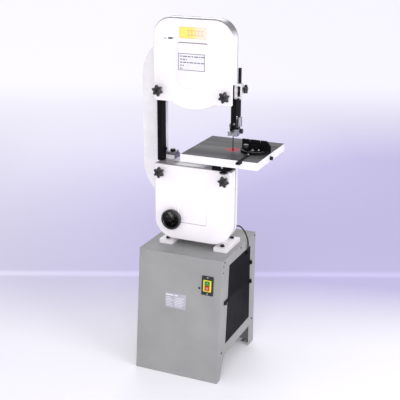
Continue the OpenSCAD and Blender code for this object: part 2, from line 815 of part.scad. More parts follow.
module blade_guard() {
    top = guide_z + 173;
    side_bottom = guide_z + 94;
    x1 = guard_x + guard_w;
    color("black") {
        box([guard_x, guard_y, carrier_z - 1], [x1, guard_y + 1.5, top]);
        box([x1 - 1.5, guard_y, side_bottom], [x1, back_face - 1 - face_gap, top]);
    }
    color("silver") rod_y(guard_y - 3, guard_y, x1 - 12, carrier_z + carrier_h/2, 5);
}

module upper_guide() {
    x0 = blade_x + 4;
    x1 = guard_x + guard_w - 3;
    color("black") difference() {
        union() {
            box([x0, guard_y + 1.5, carrier_z], [x1, post_y - 6, carrier_z + carrier_h]);
            rod_z(carrier_z, carrier_z + carrier_h, post_x, post_y, post_d/2 + 6);
            box([blade_x - 24, blade_back + 10, guide_z + 22], [post_x + 4, post_y + 6, carrier_z + eps]);
            box([blade_x - 24, blade_back + 10, carrier_z - 1], [x0 + 1, post_y - 6, thrust_z + 9]);
        }
        rod_z(carrier_z + 2, carrier_z + carrier_h + 1, post_x, post_y, post_d/2);
        rod_y(blade_back + 9, 12, blade_x - 11, thrust_z, 5 + run_gap);
        box([blade_x - 3, blade_front - 6, guide_z - 1], [blade_x + 3, blade_back + 3, carrier_z + carrier_h + 1]);
    }
    // jaws and their guide blocks
    color("silver") {
        for (s = [-1, 1]) {
            difference() {
                box([blade_x + s*15 - 8, blade_front - 4, guide_z],
                    [blade_x + s*15 + 8, blade_back + 16, guide_z + 22]);
                box([blade_x + s*15 - 9, blade_front + 1, guide_z + 5],
                    [blade_x + s*15 + 9, blade_back - 2, guide_z + 15]);
            }
            box([min(blade_x + s*(blade_t/2 + face_gap), blade_x + s*24), blade_front + 1, guide_z + 5],
                [max(blade_x + s*(blade_t/2 + face_gap), blade_x + s*24), blade_back - 2, guide_z + 15]);
        }
        box([blade_x - 7.5, blade_back + 6, guide_z + 2], [blade_x + 7.5, blade_back + 16, guide_z + 22]);
        // lug that the clamping knob screws into
        difference() {
            box([blade_x + 9, blade_y - 5, guide_z + 22 - eps], [blade_x + 23, blade_y + 7, guide_z + 31]);
            rod_x(blade_x + 8, blade_x + 24, blade_y + 1, guide_knob_z, 2.5 + run_gap);
        }
    }
}

module thrust_bearing(z) {
    y0 = blade_back + face_gap;
    color("silver") {
        rod_y(y0, y0 + bearing_t, blade_x - 11, z, bearing_d/2);
        rod_y(y0 + bearing_t - eps, y0 + bearing_t + 13, blade_x - 11, z, 5);
    }
}

module upper_thrust_bearing() { thrust_bearing(thrust_z); }
module lower_thrust_bearing() { thrust_bearing(lower_guide_z); }

guide_knob_z = guide_z + 25.5;

module guide_knob() {
    x = blade_x + 32;
    color("black") translate([x, blade_y + 1, guide_knob_z]) rotate([0, 90, 0]) {
        cylinder(h = 14, r = 10);
        for (i = [0:9]) rotate([0, 0, 36*i]) translate([9.7, 0, 1.5]) cylinder(h = 11, r = 1.9);
    }
    color("silver") rod_x(blade_x + 9, x + 1, blade_y + 1, guide_knob_z, 2.5);
}

lower_guide_z = bridge_z + 11;

module lower_guide() {
    z0 = bridge_z;
    color("silver") difference() {
        union() {
            box([bridge_x1, blade_back + face_gap + bearing_t + 1, z0], [blade_x + 18, blade_back + 28, z0 + 19]);
            // guide blocks on both sides of the blade, and the right one's arm
            box([bridge_x1, blade_front + 2, z0], [blade_x - blade_t/2 - face_gap, blade_back - 1, z0 + 6]);
            box([blade_x + blade_t/2 + face_gap, blade_front + 2, z0], [blade_x + 18, blade_back - 1, z0 + 6]);
            box([blade_x + 4, blade_back - 2, z0], [blade_x + 18, blade_back + 12, z0 + 6]);
        }
        rod_y(blade_back, blade_back + 30, blade_x - 11, lower_guide_z, 5 + run_gap);
    }
}

// ---- table ----

bracket_bolts_y = [case_y + 12, rear_saddle_y - 22];

module saddle(y) {
    along_y(y, y + saddle_w) difference() {
        translate([blade_x, table_z]) circle(trunnion_r + face_gap + saddle_t, $fn = 120);
        translate([blade_x, table_z]) circle(trunnion_r + face_gap, $fn = 120);
        translate([blade_x, table_z]) polygon([[0, 0], 200*[sin(26), -cos(26)], [200, 200], [-200, 200],
            200*[-sin(52), -cos(52)]]);
    }
    rod_z(tilt_knob_top, tilt_knob_top + 14, tilt_knob_x, y + saddle_w/2, 10);
}

tilt_knob_top = table_z - trunnion_r - face_gap - saddle_t - 4;

module table_bracket() {
    color("black") difference() {
        union() {
            saddle(front_saddle_y);
            saddle(rear_saddle_y);
            box([bridge_x0, front_saddle_y + saddle_w - 5, bridge_z],
                [bridge_x1, rear_saddle_y + 5, bridge_z + bridge_h]);
        }
        for (y = [front_saddle_y, rear_saddle_y])
            rod_z(tilt_knob_top - 1, table_z - trunnion_r + 1, tilt_knob_x, y + saddle_w/2, 4 + run_gap);
        for (y = [front_saddle_y - 1, rear_saddle_y]) along_y(y, y + saddle_w + 1)
            translate([blade_x, table_z]) circle(trunnion_r + face_gap, $fn = 120);
        for (y = bracket_bolts_y) rod_z(bridge_z - 1, bridge_z + bridge_h + 1, (bridge_x0 + bridge_x1)/2, y, 4);
    }
    color("silver") for (y = bracket_bolts_y) {
        rod_z(bridge_z - 18, bridge_z + bridge_h + 1, (bridge_x0 + bridge_x1)/2, y, 4);
        rod_z(bridge_z + bridge_h, bridge_z + bridge_h + 8, (bridge_x0 + bridge_x1)/2, y, 7);
    }
}

module tilt_lock(y) {
    color("black") {
        rod_z(tilt_knob_top - face_gap - 13, tilt_knob_top - face_gap - 1, tilt_knob_x, y, tilt_knob_d/2 - 6);
        for (i = [0:5]) translate([tilt_knob_x + 15*cos(60*i), y + 15*sin(60*i), tilt_knob_top - face_gap - 12])
            cylinder(h = 9, r = 6);
    }
    color("silver") rod_z(tilt_knob_top - face_gap - 2, table_z - trunnion_r - face_gap - 0.2, tilt_knob_x, y, 4);
}

module tilt_lock_1() { tilt_lock(front_saddle_y + saddle_w/2); }
module tilt_lock_2() { tilt_lock(rear_saddle_y + saddle_w/2); }

module table() {
    x1 = table_x + table_w;
    y1 = table_y + table_w;
    z0 = table_z - table_rim;
    color("dimgray") difference() {
        box([table_x, table_y, z0], [x1, y1, table_z]);
        difference() {
            box([table_x + 10, table_y + 10, z0 - 1], [x1 - 10, y1 - 10, table_z - table_t]);
            for (y = [table_y + 110, y1 - 60]) box([table_x, y, table_z - table_t - 8], [x1, y + 8, table_z]);
            for (x = [blade_x - 100, slot_x + 36]) box([x, table_y, table_z - table_t - 8], [x + 8, y1, table_z]);
        }
        // seat and hole for the insert
        rod_z(table_z - 3, table_z + 1, blade_x, blade_y, insert_d/2 + run_gap);
        rod_z(z0, table_z + 1, blade_x, blade_y, insert_d/2 - 6);
        // slot that the blade is fitted through
        box([blade_x, blade_y - 1.5, z0 - 1], [x1 + 1, blade_y + 1.5, table_z + 1]);
        rod_x(x1 - 40, x1 + 1, blade_y, table_z - 20, 5);
        // mitre slot
        box([slot_x - slot_w/2, table_y - 1, table_z - slot_d], [slot_x + slot_w/2, y1 + 1, table_z + 1]);
    }
}

module table_insert() {
    color("crimson") difference() {
        rod_z(table_z - 3, table_z, blade_x, blade_y, insert_d/2);
        box([blade_x - 2, blade_front - 5, table_z - 4], [blade_x + 4.6, blade_back + 5, table_z + 1]);
        rod_z(table_z - 4, table_z + 1, blade_x + insert_d/2 - 9, blade_y, 2);
    }
}

module table_pin() {
    x1 = table_x + table_w;
    color("black") {
        rod_x(x1 + face_gap, x1 + 12, blade_y, table_z - 20, 9);
        rod_x(x1 - 34, x1 + 1, blade_y, table_z - 20, 5 - run_gap);
    }
}

module trunnion(y0, y1) {
    along_y(y0, y1) difference() {
        translate([blade_x, table_z]) circle(trunnion_r, $fn = 120);
        translate([blade_x - 100, table_z - table_t - 8]) square([200, 100]);
    }
}

module trunnions() {
    color("black") {
        trunnion(front_saddle_y, front_saddle_y + saddle_w);
        trunnion(rear_saddle_y, rear_saddle_y + saddle_w);
        for (y = [front_saddle_y, rear_saddle_y]) box([blade_x - 74, y, table_z - table_t - 10],
            [blade_x + 62, y + saddle_w, table_z - table_t]);
        along_y(front_saddle_y - 8, front_saddle_y - face_gap) intersection() {
            translate([blade_x, table_z + 97]) circle(165, $fn = 120);
            translate([blade_x, table_z]) circle(trunnion_r + 12, $fn = 120);
            translate([blade_x - 71, table_z - 90]) square([142, 90 - table_t]);
        }
        // neck that carries this plate on the front trunnion
        along_y(front_saddle_y - 1, front_saddle_y + 1) intersection() {
            translate([blade_x, table_z]) circle(trunnion_r - 2, $fn = 120);
            translate([blade_x - 60, table_z - 90]) square([120, 60]);
        }
    }
    color("silver") rod_y(front_saddle_y - 11, front_saddle_y - 8, blade_x - 8, table_z - 58, 5);
}

// ---- mitre gauge ----

module mitre_bar() {
    color("black") difference() {
        box([slot_x - slot_w/2 + run_gap, bar_y, table_z - slot_d + run_gap],
            [slot_x + slot_w/2 - run_gap, bar_y + bar_len, table_z - 0.2]);
        rod_z(table_z - slot_d - 1, table_z + 1, slot_x, head_y, 5 + run_gap);
    }
    color("silver") box([slot_x - 6, head_y - 90, table_z - 0.2], [slot_x + 6, head_y - head_r - 3, table_z + 5]);
}

module mitre_head() {
    z0 = table_z + face_gap;
    color("black") difference() {
        union() {
            translate([slot_x, head_y, z0]) intersection() {
                cylinder(h = 9, r = head_r);
                translate([-80, -80, -1]) cube([160, 80 + 16, 12]);
            }
            translate([slot_x - 18, head_y - 10, z0]) cube([36, 30, 30]);
            along_y(head_y + 16, head_y + 26) difference() {
                polygon([[slot_x - fence_l/2, z0], [slot_x + fence_l/2, z0], [slot_x + fence_l/2, z0 + 22],
                    [slot_x + fence_l/2 - 20, z0 + fence_h], [slot_x - fence_l/2, z0 + fence_h]]);
                for (x = [-34, 16]) translate([slot_x + x, z0 + fence_h - 12]) square([5, 14]);
            }
        }
        rod_z(z0 - 1, z0 + 20, slot_x, head_y, 5 + run_gap);
        rod_z(z0 + 2, z0 + 12, slot_x - 34, head_y - 24, 4 + run_gap);
    }
    color("silver") rod_z(table_z - slot_d + 0.4, z0 + 21, slot_x, head_y, 5);
}

module mitre_knob() {
    z0 = table_z + face_gap;
    x = slot_x - 34;
    y = head_y - 24;
    color("silver") rod_z(z0 + 2, z0 + 12, x, y, 4);
    color("black") {
        rod_z(z0 + 9 + face_gap, z0 + 34, x, y, 11);
        for (i = [0:7]) rod_z(z0 + 14, z0 + 34, x + 10*cos(45*i), y + 10*sin(45*i), 3);
    }
}

// ---- switch, side door and lead ----

module switch_plate() {
    color("black") on_front(switch_x, switch_z) difference() {
        union() {
            box([-switch_w/2, -3, -switch_h/2], [switch_w/2, 0, switch_h/2]);
            box([-19, -1, -35], [19, 40, 35]);
        }
        box([-15, -4, -27], [15, 12, 27]);
    }
    color("gold") on_front(switch_x, switch_z) difference() {
        box([-20, -5, -28], [20, -3, 28]);
        box([-12 - face_gap, -6, -23 - face_gap], [12 + face_gap, -2, 23 + face_gap]);
    }
    color("silver") on_front(switch_x, switch_z) for (z = [-39, 39]) rod_y(-5, -3, 0, z, 4);
}

// a push button whose middle is z above the switch's middle
module button(z) { on_front(switch_x, switch_z) box([-12, -8, z - 11], [12, 3, z + 11]); }
module green_button() { color("green") button(12); }
module red_button() { color("red") button(-12); }

module side_door() {
    color("black") {
        difference() {
            along_x(side_x - sheet, side_x) opening_outline(1.5);
            // notch that the lead passes through
            box([side_x - 5, lead_notch_y - 20, open_top - 26], [side_x + 5, lead_notch_y + 20, open_top + 5]);
        }
        // tab that the latch knob screws through
        difference() {
            box([side_x + face_gap, latch_y - 10, latch_z - 10], [side_x + 2, latch_y + 60, latch_z + 10]);
            rod_x(side_x - 1, side_x + 3, latch_y, latch_z, 2.5 + run_gap);
        }
        box([side_x - 0.1, latch_y + 42, latch_z - 8], [side_x + 0.4, latch_y + 58, latch_z + 8]);
        for (h = hinge_z) difference() {
            union() {
                rod_z(h - 9.7, h + 9.7, hinge_x, hinge_y, 4.5);
                box([side_x - 0.1, hinge_y - 24, h - 9.7], [side_x + 1.6, hinge_y - 6, h + 9.7]);
                along_z(h - 9.7, h + 9.7) polygon([[side_x, hinge_y - 7], [side_x + 1.6, hinge_y - 7],
                    [hinge_x, hinge_y - 3], [hinge_x, hinge_y], [hinge_x - 3, hinge_y - 3], [side_x + 0.3, hinge_y - 5]]);
            }
            rod_z(h - 10, h + 10, hinge_x, hinge_y, 2.5 + run_gap);
        }
    }
}

module side_door_knob() {
    color("black") {
        rod_x(side_x + 2 + face_gap, side_x + 14, latch_y, latch_z, 8);
        rod_x(side_x - 6, side_x + 3, latch_y, latch_z, 2.5);
    }
}

module lead_glands() {
    from = lead_route[0];
    to = lead_route[len(lead_route) - 1];
    color("black") difference() {
        union() {
            rod_x(from[0] - gland_l, from[0], from[1], from[2], 7);
            rod_x(motor_box_x, to[0], to[1], to[2], 7);
        }
        for (p = [from, to]) rod_x(p[0] - 2, p[0] + 1, p[1], p[2], lead_d/2 + run_gap);
    }
}

// a smooth tube along the route's own points
function along(p, i) = (p[min(i + 1, len(p) - 1)] - p[max(i - 1, 0)]) / norm(p[min(i + 1, len(p) - 1)] - p[max(i - 1, 0)]);
function side_of(t) = cross(t, [0.2, 0.9, 0.1]) / norm(cross(t, [0.2, 0.9, 0.1]));
function between(p0, p1, p2, p3, t) = 0.5*((2*p1) + (p2 - p0)*t + (2*p0 - 5*p1 + 4*p2 - p3)*t*t
    + (3*p1 - p0 - 3*p2 + p3)*t*t*t);
function smooth_route(p, n) = [for (i = [0:len(p) - 2]) for (k = [0:n - 1])
    between(p[max(i - 1, 0)], p[i], p[i + 1], p[min(i + 2, len(p) - 1)], k/n), p[len(p) - 1]];

module tube(p, r, n) {
    rings = len(p);
    points = [for (i = [0:rings - 1]) let (t = along(p, i), u = side_of(t), v = cross(t, u))
        for (k = [0:n - 1]) p[i] + r*(cos(360*k/n)*u + sin(360*k/n)*v)];
    sides = [for (i = [0:rings - 2]) for (k = [0:n - 1])
        [i*n + k, i*n + (k + 1) % n, (i + 1)*n + (k + 1) % n, (i + 1)*n + k]];
    first = [for (k = [0:n - 1]) n - 1 - k];
    last = [for (k = [0:n - 1]) (rings - 1)*n + k];
    polyhedron(points, concat([first], sides, [last]));
}

module lead() { color("black") tube(smooth_route(lead_route, 2), lead_d/2, 10); }

stand_front();
stand_back();
stand_left();
stand_right();
stand_top();
stand_screws();
motor_shelf();
motor();
motor_pulley();
drive_belt();
driven_pulley();
lower_shaft();
lower_bearings();
lower_wheel();
lower_tyre();
lower_frame();
frame_bolts();
lower_cover();
dust_port();
cover_knob_1();
cover_knob_2();
cover_knob_3();
cover_knob_4();
upper_frame();
upper_cover();
cover_labels();
wheel_slide();
wheel_hinge();
tracking_knob();
tension_screw();
tension_spring();
upper_wheel();
upper_tyre();
blade();
return_guard();
guide_post();
post_lock_knob();
blade_guard();
upper_guide();
upper_thrust_bearing();
guide_knob();
lower_guide();
lower_thrust_bearing();
table_bracket();
table();
table_insert();
table_pin();
trunnions();
tilt_lock_1();
tilt_lock_2();
mitre_bar();
mitre_head();
mitre_knob();
switch_plate();
green_button();
red_button();
side_door();
side_door_knob();
lead_glands();
lead();
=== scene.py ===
# Wood band saw on a folded steel stand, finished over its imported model. Metres, Z up.
import bpy, bmesh, json, math
from mathutils import Vector, Matrix


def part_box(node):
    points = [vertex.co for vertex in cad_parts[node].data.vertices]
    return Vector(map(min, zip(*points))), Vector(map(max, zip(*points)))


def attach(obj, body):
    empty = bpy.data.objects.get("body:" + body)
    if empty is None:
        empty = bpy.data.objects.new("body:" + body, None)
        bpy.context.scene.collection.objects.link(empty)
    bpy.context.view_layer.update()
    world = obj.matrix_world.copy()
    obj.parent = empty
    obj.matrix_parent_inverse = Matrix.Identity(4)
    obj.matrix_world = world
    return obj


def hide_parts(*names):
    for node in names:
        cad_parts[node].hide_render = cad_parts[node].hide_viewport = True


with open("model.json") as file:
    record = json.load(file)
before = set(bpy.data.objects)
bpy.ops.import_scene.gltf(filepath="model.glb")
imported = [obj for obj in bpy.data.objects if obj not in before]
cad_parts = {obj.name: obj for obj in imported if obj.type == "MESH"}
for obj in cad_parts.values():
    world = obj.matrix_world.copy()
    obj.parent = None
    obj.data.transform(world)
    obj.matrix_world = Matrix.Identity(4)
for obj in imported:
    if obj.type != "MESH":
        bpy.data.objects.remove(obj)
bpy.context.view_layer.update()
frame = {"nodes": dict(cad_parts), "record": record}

mm = 0.001
rootBody = "stand_and_frame"

# camera and lead
print("camera and lead")
cameraSet = {"place": (1.59567, -3.6188, 2.13254), "yaw": 23.57, "pitch": 18.37, "roll": 0.26, "lens": 78.13}


def makeCamera():
    yaw, pitch, roll = (math.radians(cameraSet[k]) for k in ("yaw", "pitch", "roll"))
    forward = Vector((-math.sin(yaw)*math.cos(pitch), math.cos(yaw)*math.cos(pitch), -math.sin(pitch)))
    level = Vector((math.cos(yaw), math.sin(yaw), 0))
    upright = level.cross(forward)
    right = level*math.cos(roll) + upright*math.sin(roll)
    up = upright*math.cos(roll) - level*math.sin(roll)
    data = bpy.data.cameras.new("camera")
    data.lens, data.sensor_width = cameraSet["lens"], 36
    data.clip_start, data.clip_end = 0.1, 120
    camera = bpy.data.objects.new("camera", data)
    bpy.context.scene.collection.objects.link(camera)
    turn = Matrix((right, up, -forward)).transposed().to_4x4()
    camera.matrix_world = Matrix.Translation(cameraSet["place"]) @ turn
    bpy.context.scene.camera = camera


makeCamera()

leadSet = {"diameter": 7, "points": [
    (168, 44, 690), (178, 49, 694), (189, 59, 696), (199, 72, 689), (208, 86, 672), (215, 99, 650),
    (220, 110, 626), (223, 118, 602), (223, 122, 580), (221, 124, 560), (215, 125, 547), (205, 126, 540),
    (193, 126, 537), (181, 123, 535), (170, 117, 529), (162, 108, 516), (158, 97, 496), (158, 84, 470),
    (159, 68, 436), (160, 50, 400), (161, 32, 364), (160, 14, 331), (157, 0, 308), (151, -10, 295),
    (143, -15, 290), (136, -16, 289)]}


def smoothRoute(points, steps):
    path = []
    for i in range(len(points) - 1):
        p = [Vector(points[min(max(i + k, 0), len(points) - 1)]) for k in (-1, 0, 1, 2)]
        for s in range(steps):
            t = s/steps
            path.append(0.5*(2*p[1] + (p[2] - p[0])*t + (2*p[0] - 5*p[1] + 4*p[2] - p[3])*t*t
                             + (3*p[1] - p[0] - 3*p[2] + p[3])*t*t*t))
    return path + [Vector(points[-1])]


leadPath = [p*mm for p in smoothRoute(leadSet["points"], 4)]


# finishes
print("finishes")


def linearFromHex(text):
    def straight(c):
        return c/12.92 if c <= 0.04045 else ((c + 0.055)/1.055)**2.4
    return tuple(straight(int(text[i:i + 2], 16)/255) for i in (0, 2, 4)) + (1.0,)


def addNode(tree, kind, settings=None, inputs=None):
    node = tree.nodes.new(kind)
    for key, value in (settings or {}).items():
        setattr(node, key, value)
    for key, value in (inputs or {}).items():
        if isinstance(value, bpy.types.NodeSocket):
            tree.links.new(value, node.inputs[key])
        else:
            node.inputs[key].default_value = value
    return node


def perMetre(size):
    # noise scale whose features are about this many millimetres
    return 1000/size


def newFinish(name):
    material = bpy.data.materials.new(name)
    material.use_nodes = True
    tree = material.node_tree
    tree.nodes.clear()
    surface = addNode(tree, "ShaderNodeBsdfPrincipled")
    addNode(tree, "ShaderNodeOutputMaterial", None, {"Surface": surface.outputs[0]})
    place = addNode(tree, "ShaderNodeTexCoord").outputs["Object"]
    return material, tree, surface, place


def wornEdges(tree, width):
    # bright where the shape turns sharply within this many millimetres
    soft = addNode(tree, "ShaderNodeBevel", {"samples": 4}, {"Radius": width*mm})
    flat = addNode(tree, "ShaderNodeNewGeometry").outputs["Normal"]
    facing = addNode(tree, "ShaderNodeVectorMath", {"operation": "DOT_PRODUCT"}, {0: soft.outputs[0], 1: flat})
    return addNode(tree, "ShaderNodeMapRange", None, {"Value": facing.outputs["Value"], "From Min": 0.97,
                   "From Max": 0.80, "To Min": 0.0, "To Max": 1.0}).outputs[0]


# Everything that differs between two coats of paint, sheets of steel or moulded plastics.
# tone: two colours that the surface wanders between; patch and grain: their sizes in millimetres;
# height: how far the grain stands out, in millimetres; stretch: the grain along x, y and z;
# last, the colour of the painted shade laid on faces that look up, and how dark it lies.
def makeFinish(name, tone, rough, patch=60, grain=1.2, height=0.02, metallic=0.0, coat=0.0, coatRough=0.1,
               ior=1.5, stretch=(1, 1, 1), roughSpread=0.06, edge=None, edgeWidth=1.2, edgeShare=0.35,
               speck=None, speckShare=0.0, sheen=0.0, gloss=0.5, topShade=None, topShadeShare=0.0):
    material, tree, surface, place = newFinish(name)
    spread = addNode(tree, "ShaderNodeMapping", None, {"Vector": place, "Scale": stretch}).outputs[0]
    broad = addNode(tree, "ShaderNodeTexNoise", None, {"Vector": spread, "Scale": perMetre(patch), "Detail": 4.0,
                    "Roughness": 0.55})
    fine = addNode(tree, "ShaderNodeTexNoise", None, {"Vector": spread, "Scale": perMetre(grain), "Detail": 3.0,
                   "Roughness": 0.6})
    share = addNode(tree, "ShaderNodeMapRange", None, {"Value": broad.outputs["Fac"], "From Min": 0.32,
                    "From Max": 0.68})
    colour = addNode(tree, "ShaderNodeMix", {"data_type": "RGBA"}, {0: share.outputs[0],
                     6: linearFromHex(tone[0]), 7: linearFromHex(tone[1])}).outputs[2]
    if speck:
        dots = addNode(tree, "ShaderNodeMapRange", None, {"Value": fine.outputs["Fac"], "From Min": 0.62,
                       "From Max": 0.72, "To Max": speckShare})
        colour = addNode(tree, "ShaderNodeMix", {"data_type": "RGBA"}, {0: dots.outputs[0], 6: colour,
                         7: linearFromHex(speck)}).outputs[2]
    if edge:
        rub = addNode(tree, "ShaderNodeMath", {"operation": "MULTIPLY"}, {0: wornEdges(tree, edgeWidth),
                      1: fine.outputs["Fac"]})
        rub = addNode(tree, "ShaderNodeMath", {"operation": "MULTIPLY"}, {0: rub.outputs[0], 1: edgeShare*2})
        colour = addNode(tree, "ShaderNodeMix", {"data_type": "RGBA"}, {0: rub.outputs[0], 6: colour,
                         7: linearFromHex(edge)}).outputs[2]
    if topShade:
        # painted shade: faces that look up are darkened, standing in for the dimmer light that falls on them from
        # above
        upward = addNode(tree, "ShaderNodeSeparateXYZ", None, {
            0: addNode(tree, "ShaderNodeNewGeometry").outputs["Normal"]}).outputs[2]
        topShadeMask = addNode(tree, "ShaderNodeMapRange", None, {"Value": upward, "From Min": 0.15, "From Max": 0.5,
                        "To Max": topShadeShare}).outputs[0]
        topShadeMask = addNode(tree, "ShaderNodeMath", {"operation": "MULTIPLY"}, {0: topShadeMask, 1: addNode(
            tree, "ShaderNodeMapRange", None, {"Value": broad.outputs["Fac"], "From Min": 0.3, "From Max": 0.6,
                                               "To Min": 0.75}).outputs[0]}).outputs[0]
        colour = addNode(tree, "ShaderNodeMix", {"data_type": "RGBA"}, {0: topShadeMask, 6: colour,
                         7: linearFromHex(topShade)}).outputs[2]
    tree.links.new(colour, surface.inputs["Base Color"])
    surface.inputs["Specular IOR Level"].default_value = gloss
    dull = addNode(tree, "ShaderNodeMapRange", None, {"Value": broad.outputs["Fac"], "From Min": 0.3,
                   "From Max": 0.7, "To Min": max(rough - roughSpread, 0.03), "To Max": rough + roughSpread})
    tree.links.new(dull.outputs[0], surface.inputs["Roughness"])
    bump = addNode(tree, "ShaderNodeBump", None, {"Height": fine.outputs["Fac"], "Distance": height*mm,
                   "Strength": 1.0})
    tree.links.new(bump.outputs[0], surface.inputs["Normal"])
    surface.inputs["Metallic"].default_value = metallic
    surface.inputs["Coat Weight"].default_value = coat
    surface.inputs["Coat Roughness"].default_value = coatRough
    surface.inputs["Sheen Weight"].default_value = sheen
    if not metallic:
        surface.inputs["IOR"].default_value = ior
    return material


finish = {
    # stoved enamel on pressed steel: bright warm white with a faint sag, and a clean gloss; painted shade darkens
    # its faces that look up
    "pressedEnamel": makeFinish("StovedEnamelPressedSteel", ("F8F4F5", "F3EEF1"), 0.30, patch=120, grain=2.2,
                                height=0.05, coat=0.25, coatRough=0.14, edge="DAD5D7", edgeShare=0.4,
                                topShade="57545A", topShadeShare=0.9),
    # enamel brushed over sand-cast iron: the same white, lumpier, greyer in the hollows
    "castEnamel": makeFinish("EnamelledCastIron", ("F3F0F1", "E9E6E8"), 0.38, patch=70, grain=3.0, height=0.22,
                             coat=0.15, coatRough=0.2, edge="D0CCCD", edgeShare=0.4, speck="DAD7D8",
                             speckShare=0.3),
    # grey polyester powder coat: a fine orange peel and a low gloss
    "powderCoat": makeFinish("GreyPowderCoat", ("9E9E9D", "959594"), 0.52, patch=160, grain=1.6, height=0.06,
                             gloss=0.3, edge="B9B9BC", edgeWidth=1.0, edgeShare=0.4, speck="A8A8A9",
                             speckShare=0.35),
    # black satin paint on sheet steel: slightly greyed by dust
    "blackSheetPaint": makeFinish("SatinBlackSheetPaint", ("0A0A0B", "111113"), 0.62, patch=90, grain=1.4,
                                  height=0.04, gloss=0.15, ior=1.35, edge="4A4A4E", edgeShare=0.3, speck="242427",
                                  speckShare=0.3),
    # hammered enamel on the motor: soft dimples
    "hammeredPaint": makeFinish("HammeredMotorEnamel", ("3D4550", "333A44"), 0.35, patch=40, grain=4.0,
                                height=0.35, coat=0.3),
    # phenolic moulding: deep black with a soft gloss and a trace of brown at its worn edges
    "phenolic": makeFinish("MouldedBlackPhenolic", ("0B0B0C", "131314"), 0.30, patch=30, grain=0.9, height=0.02,
                           coat=0.25, coatRough=0.15, edge="3A3836", edgeWidth=1.5, edgeShare=0.3),
    # black oxide on turned steel: blue-black with a dry oil film
    "blackOxide": makeFinish("BlackOxideSteel", ("1B1C1F", "26272B"), 0.33, patch=25, grain=0.6, height=0.02,
                             metallic=0.85, edge="8A8A8E", edgeWidth=0.8, edgeShare=0.5),
    # turned and milled steel: fine tool lines, pale edges
    "turnedSteel": makeFinish("TurnedBrightSteel", ("B9BABD", "A5A6AA"), 0.26, patch=20, grain=0.5, height=0.02,
                              metallic=1.0, stretch=(1, 0.15, 1), edge="DDDDE0", edgeWidth=0.8),
    # cold rolled blade steel: lines along the band, a straw tint by the teeth
    "bladeSteel": makeFinish("RolledBladeSteel", ("84868C", "6E7076"), 0.30, patch=14, grain=0.5, height=0.01,
                             metallic=1.0, stretch=(1, 1, 0.03), speck="A89A80", speckShare=0.2),
    # oiled spring wire
    "springSteel": makeFinish("OiledSpringSteel", ("5E5F63", "4A4B4F"), 0.34, patch=8, grain=0.8, height=0.02,
                              metallic=1.0),
    # surface-ground iron: dark grey, oiled, with fine lines along the grinder's travel
    "groundIron": makeFinish("GroundTableIron", ("2C2B30", "201F24"), 0.50, patch=85, grain=1.1, height=0.012,
                             metallic=0.25, stretch=(0.12, 1, 1), roughSpread=0.08, speck="3C3B41",
                             speckShare=0.5, gloss=0.25),
    # turned grey iron of the wheels: sand-cast web, cut rim
    "wheelIron": makeFinish("TurnedWheelIron", ("55575B", "45474B"), 0.45, patch=35, grain=2.0, height=0.12,
                            metallic=0.7, edge="8C8D90"),
    # natural rubber tyre: ochre, dusted with sawdust
    "tyreRubber": makeFinish("BandWheelRubber", ("A8602E", "8E4E25"), 0.62, patch=18, grain=1.0, height=0.05,
                             speck="C9A878", speckShare=0.6),
    # V belt: black rubber in a cloth jacket
    "beltRubber": makeFinish("JacketedBeltRubber", ("161617", "202021"), 0.72, patch=12, grain=0.7, height=0.06,
                             sheen=0.2),
    # soft PVC jacket of the lead
    "pvcJacket": makeFinish("BlackPvcJacket", ("0E0E0F", "171718"), 0.42, patch=14, grain=0.8, height=0.015),
    # injection moulded insert: coral red with a fine spark texture
    "redInsert": makeFinish("MouldedRedNylon", ("A80A18", "B81424"), 0.48, patch=12, grain=0.7, height=0.02,
                            gloss=0.15, speck="C83A44", speckShare=0.3),
    "yellowGuard": makeFinish("MouldedYellowAbs", ("D9D21E", "E6DE3A"), 0.32, patch=14, grain=0.6, height=0.015,
                              coat=0.15),
    "greenCap": makeFinish("MouldedGreenAbs", ("1F7A34", "2C8A40"), 0.30, patch=8, grain=0.5, height=0.01,
                           coat=0.2),
    "redCap": makeFinish("MouldedRedAbs", ("C22226", "D0353A"), 0.30, patch=8, grain=0.5, height=0.01, coat=0.2),
    # printed polyester plate: off white, faintly glossy
    "plateFilm": makeFinish("PrintedPolyesterFilm", ("EDEBF0", "E4E2E8"), 0.34, patch=30, grain=0.8,
                            height=0.01),
    "plateInk": makeFinish("GreyScreenInk", ("3E3F46", "4C4D55"), 0.5, patch=6, grain=0.4, height=0.004),
    # brushed and lacquered aluminium of the stand's plate
    "platedLabel": makeFinish("LacqueredLabelAluminium", ("B7B6BE", "A9A8B1"), 0.42, patch=26, grain=0.7,
                              height=0.01, metallic=0.15, stretch=(0.1, 1, 1)),
    # as-cast grey iron with a machined skin, lightly oiled
    "machinedIron": makeFinish("MachinedGreyIron", ("8C8B8F", "7A797D"), 0.42, patch=22, grain=0.9, height=0.03,
                               metallic=0.6, edge="C4C4C6", edgeWidth=1.0),
    "paleInk": makeFinish("PaleGreyScreenInk", ("B4B3BC", "C1C0C8"), 0.5, patch=6, grain=0.4, height=0.004),
    "pinkInk": makeFinish("PinkScreenInk", ("E9AFA4", "EDC0A8"), 0.45, patch=8, grain=0.4, height=0.004),
    "whiteInk": makeFinish("WhiteEngravingPaint", ("E8E8E8", "DADADA"), 0.5, patch=5, grain=0.4, height=0.004),
}


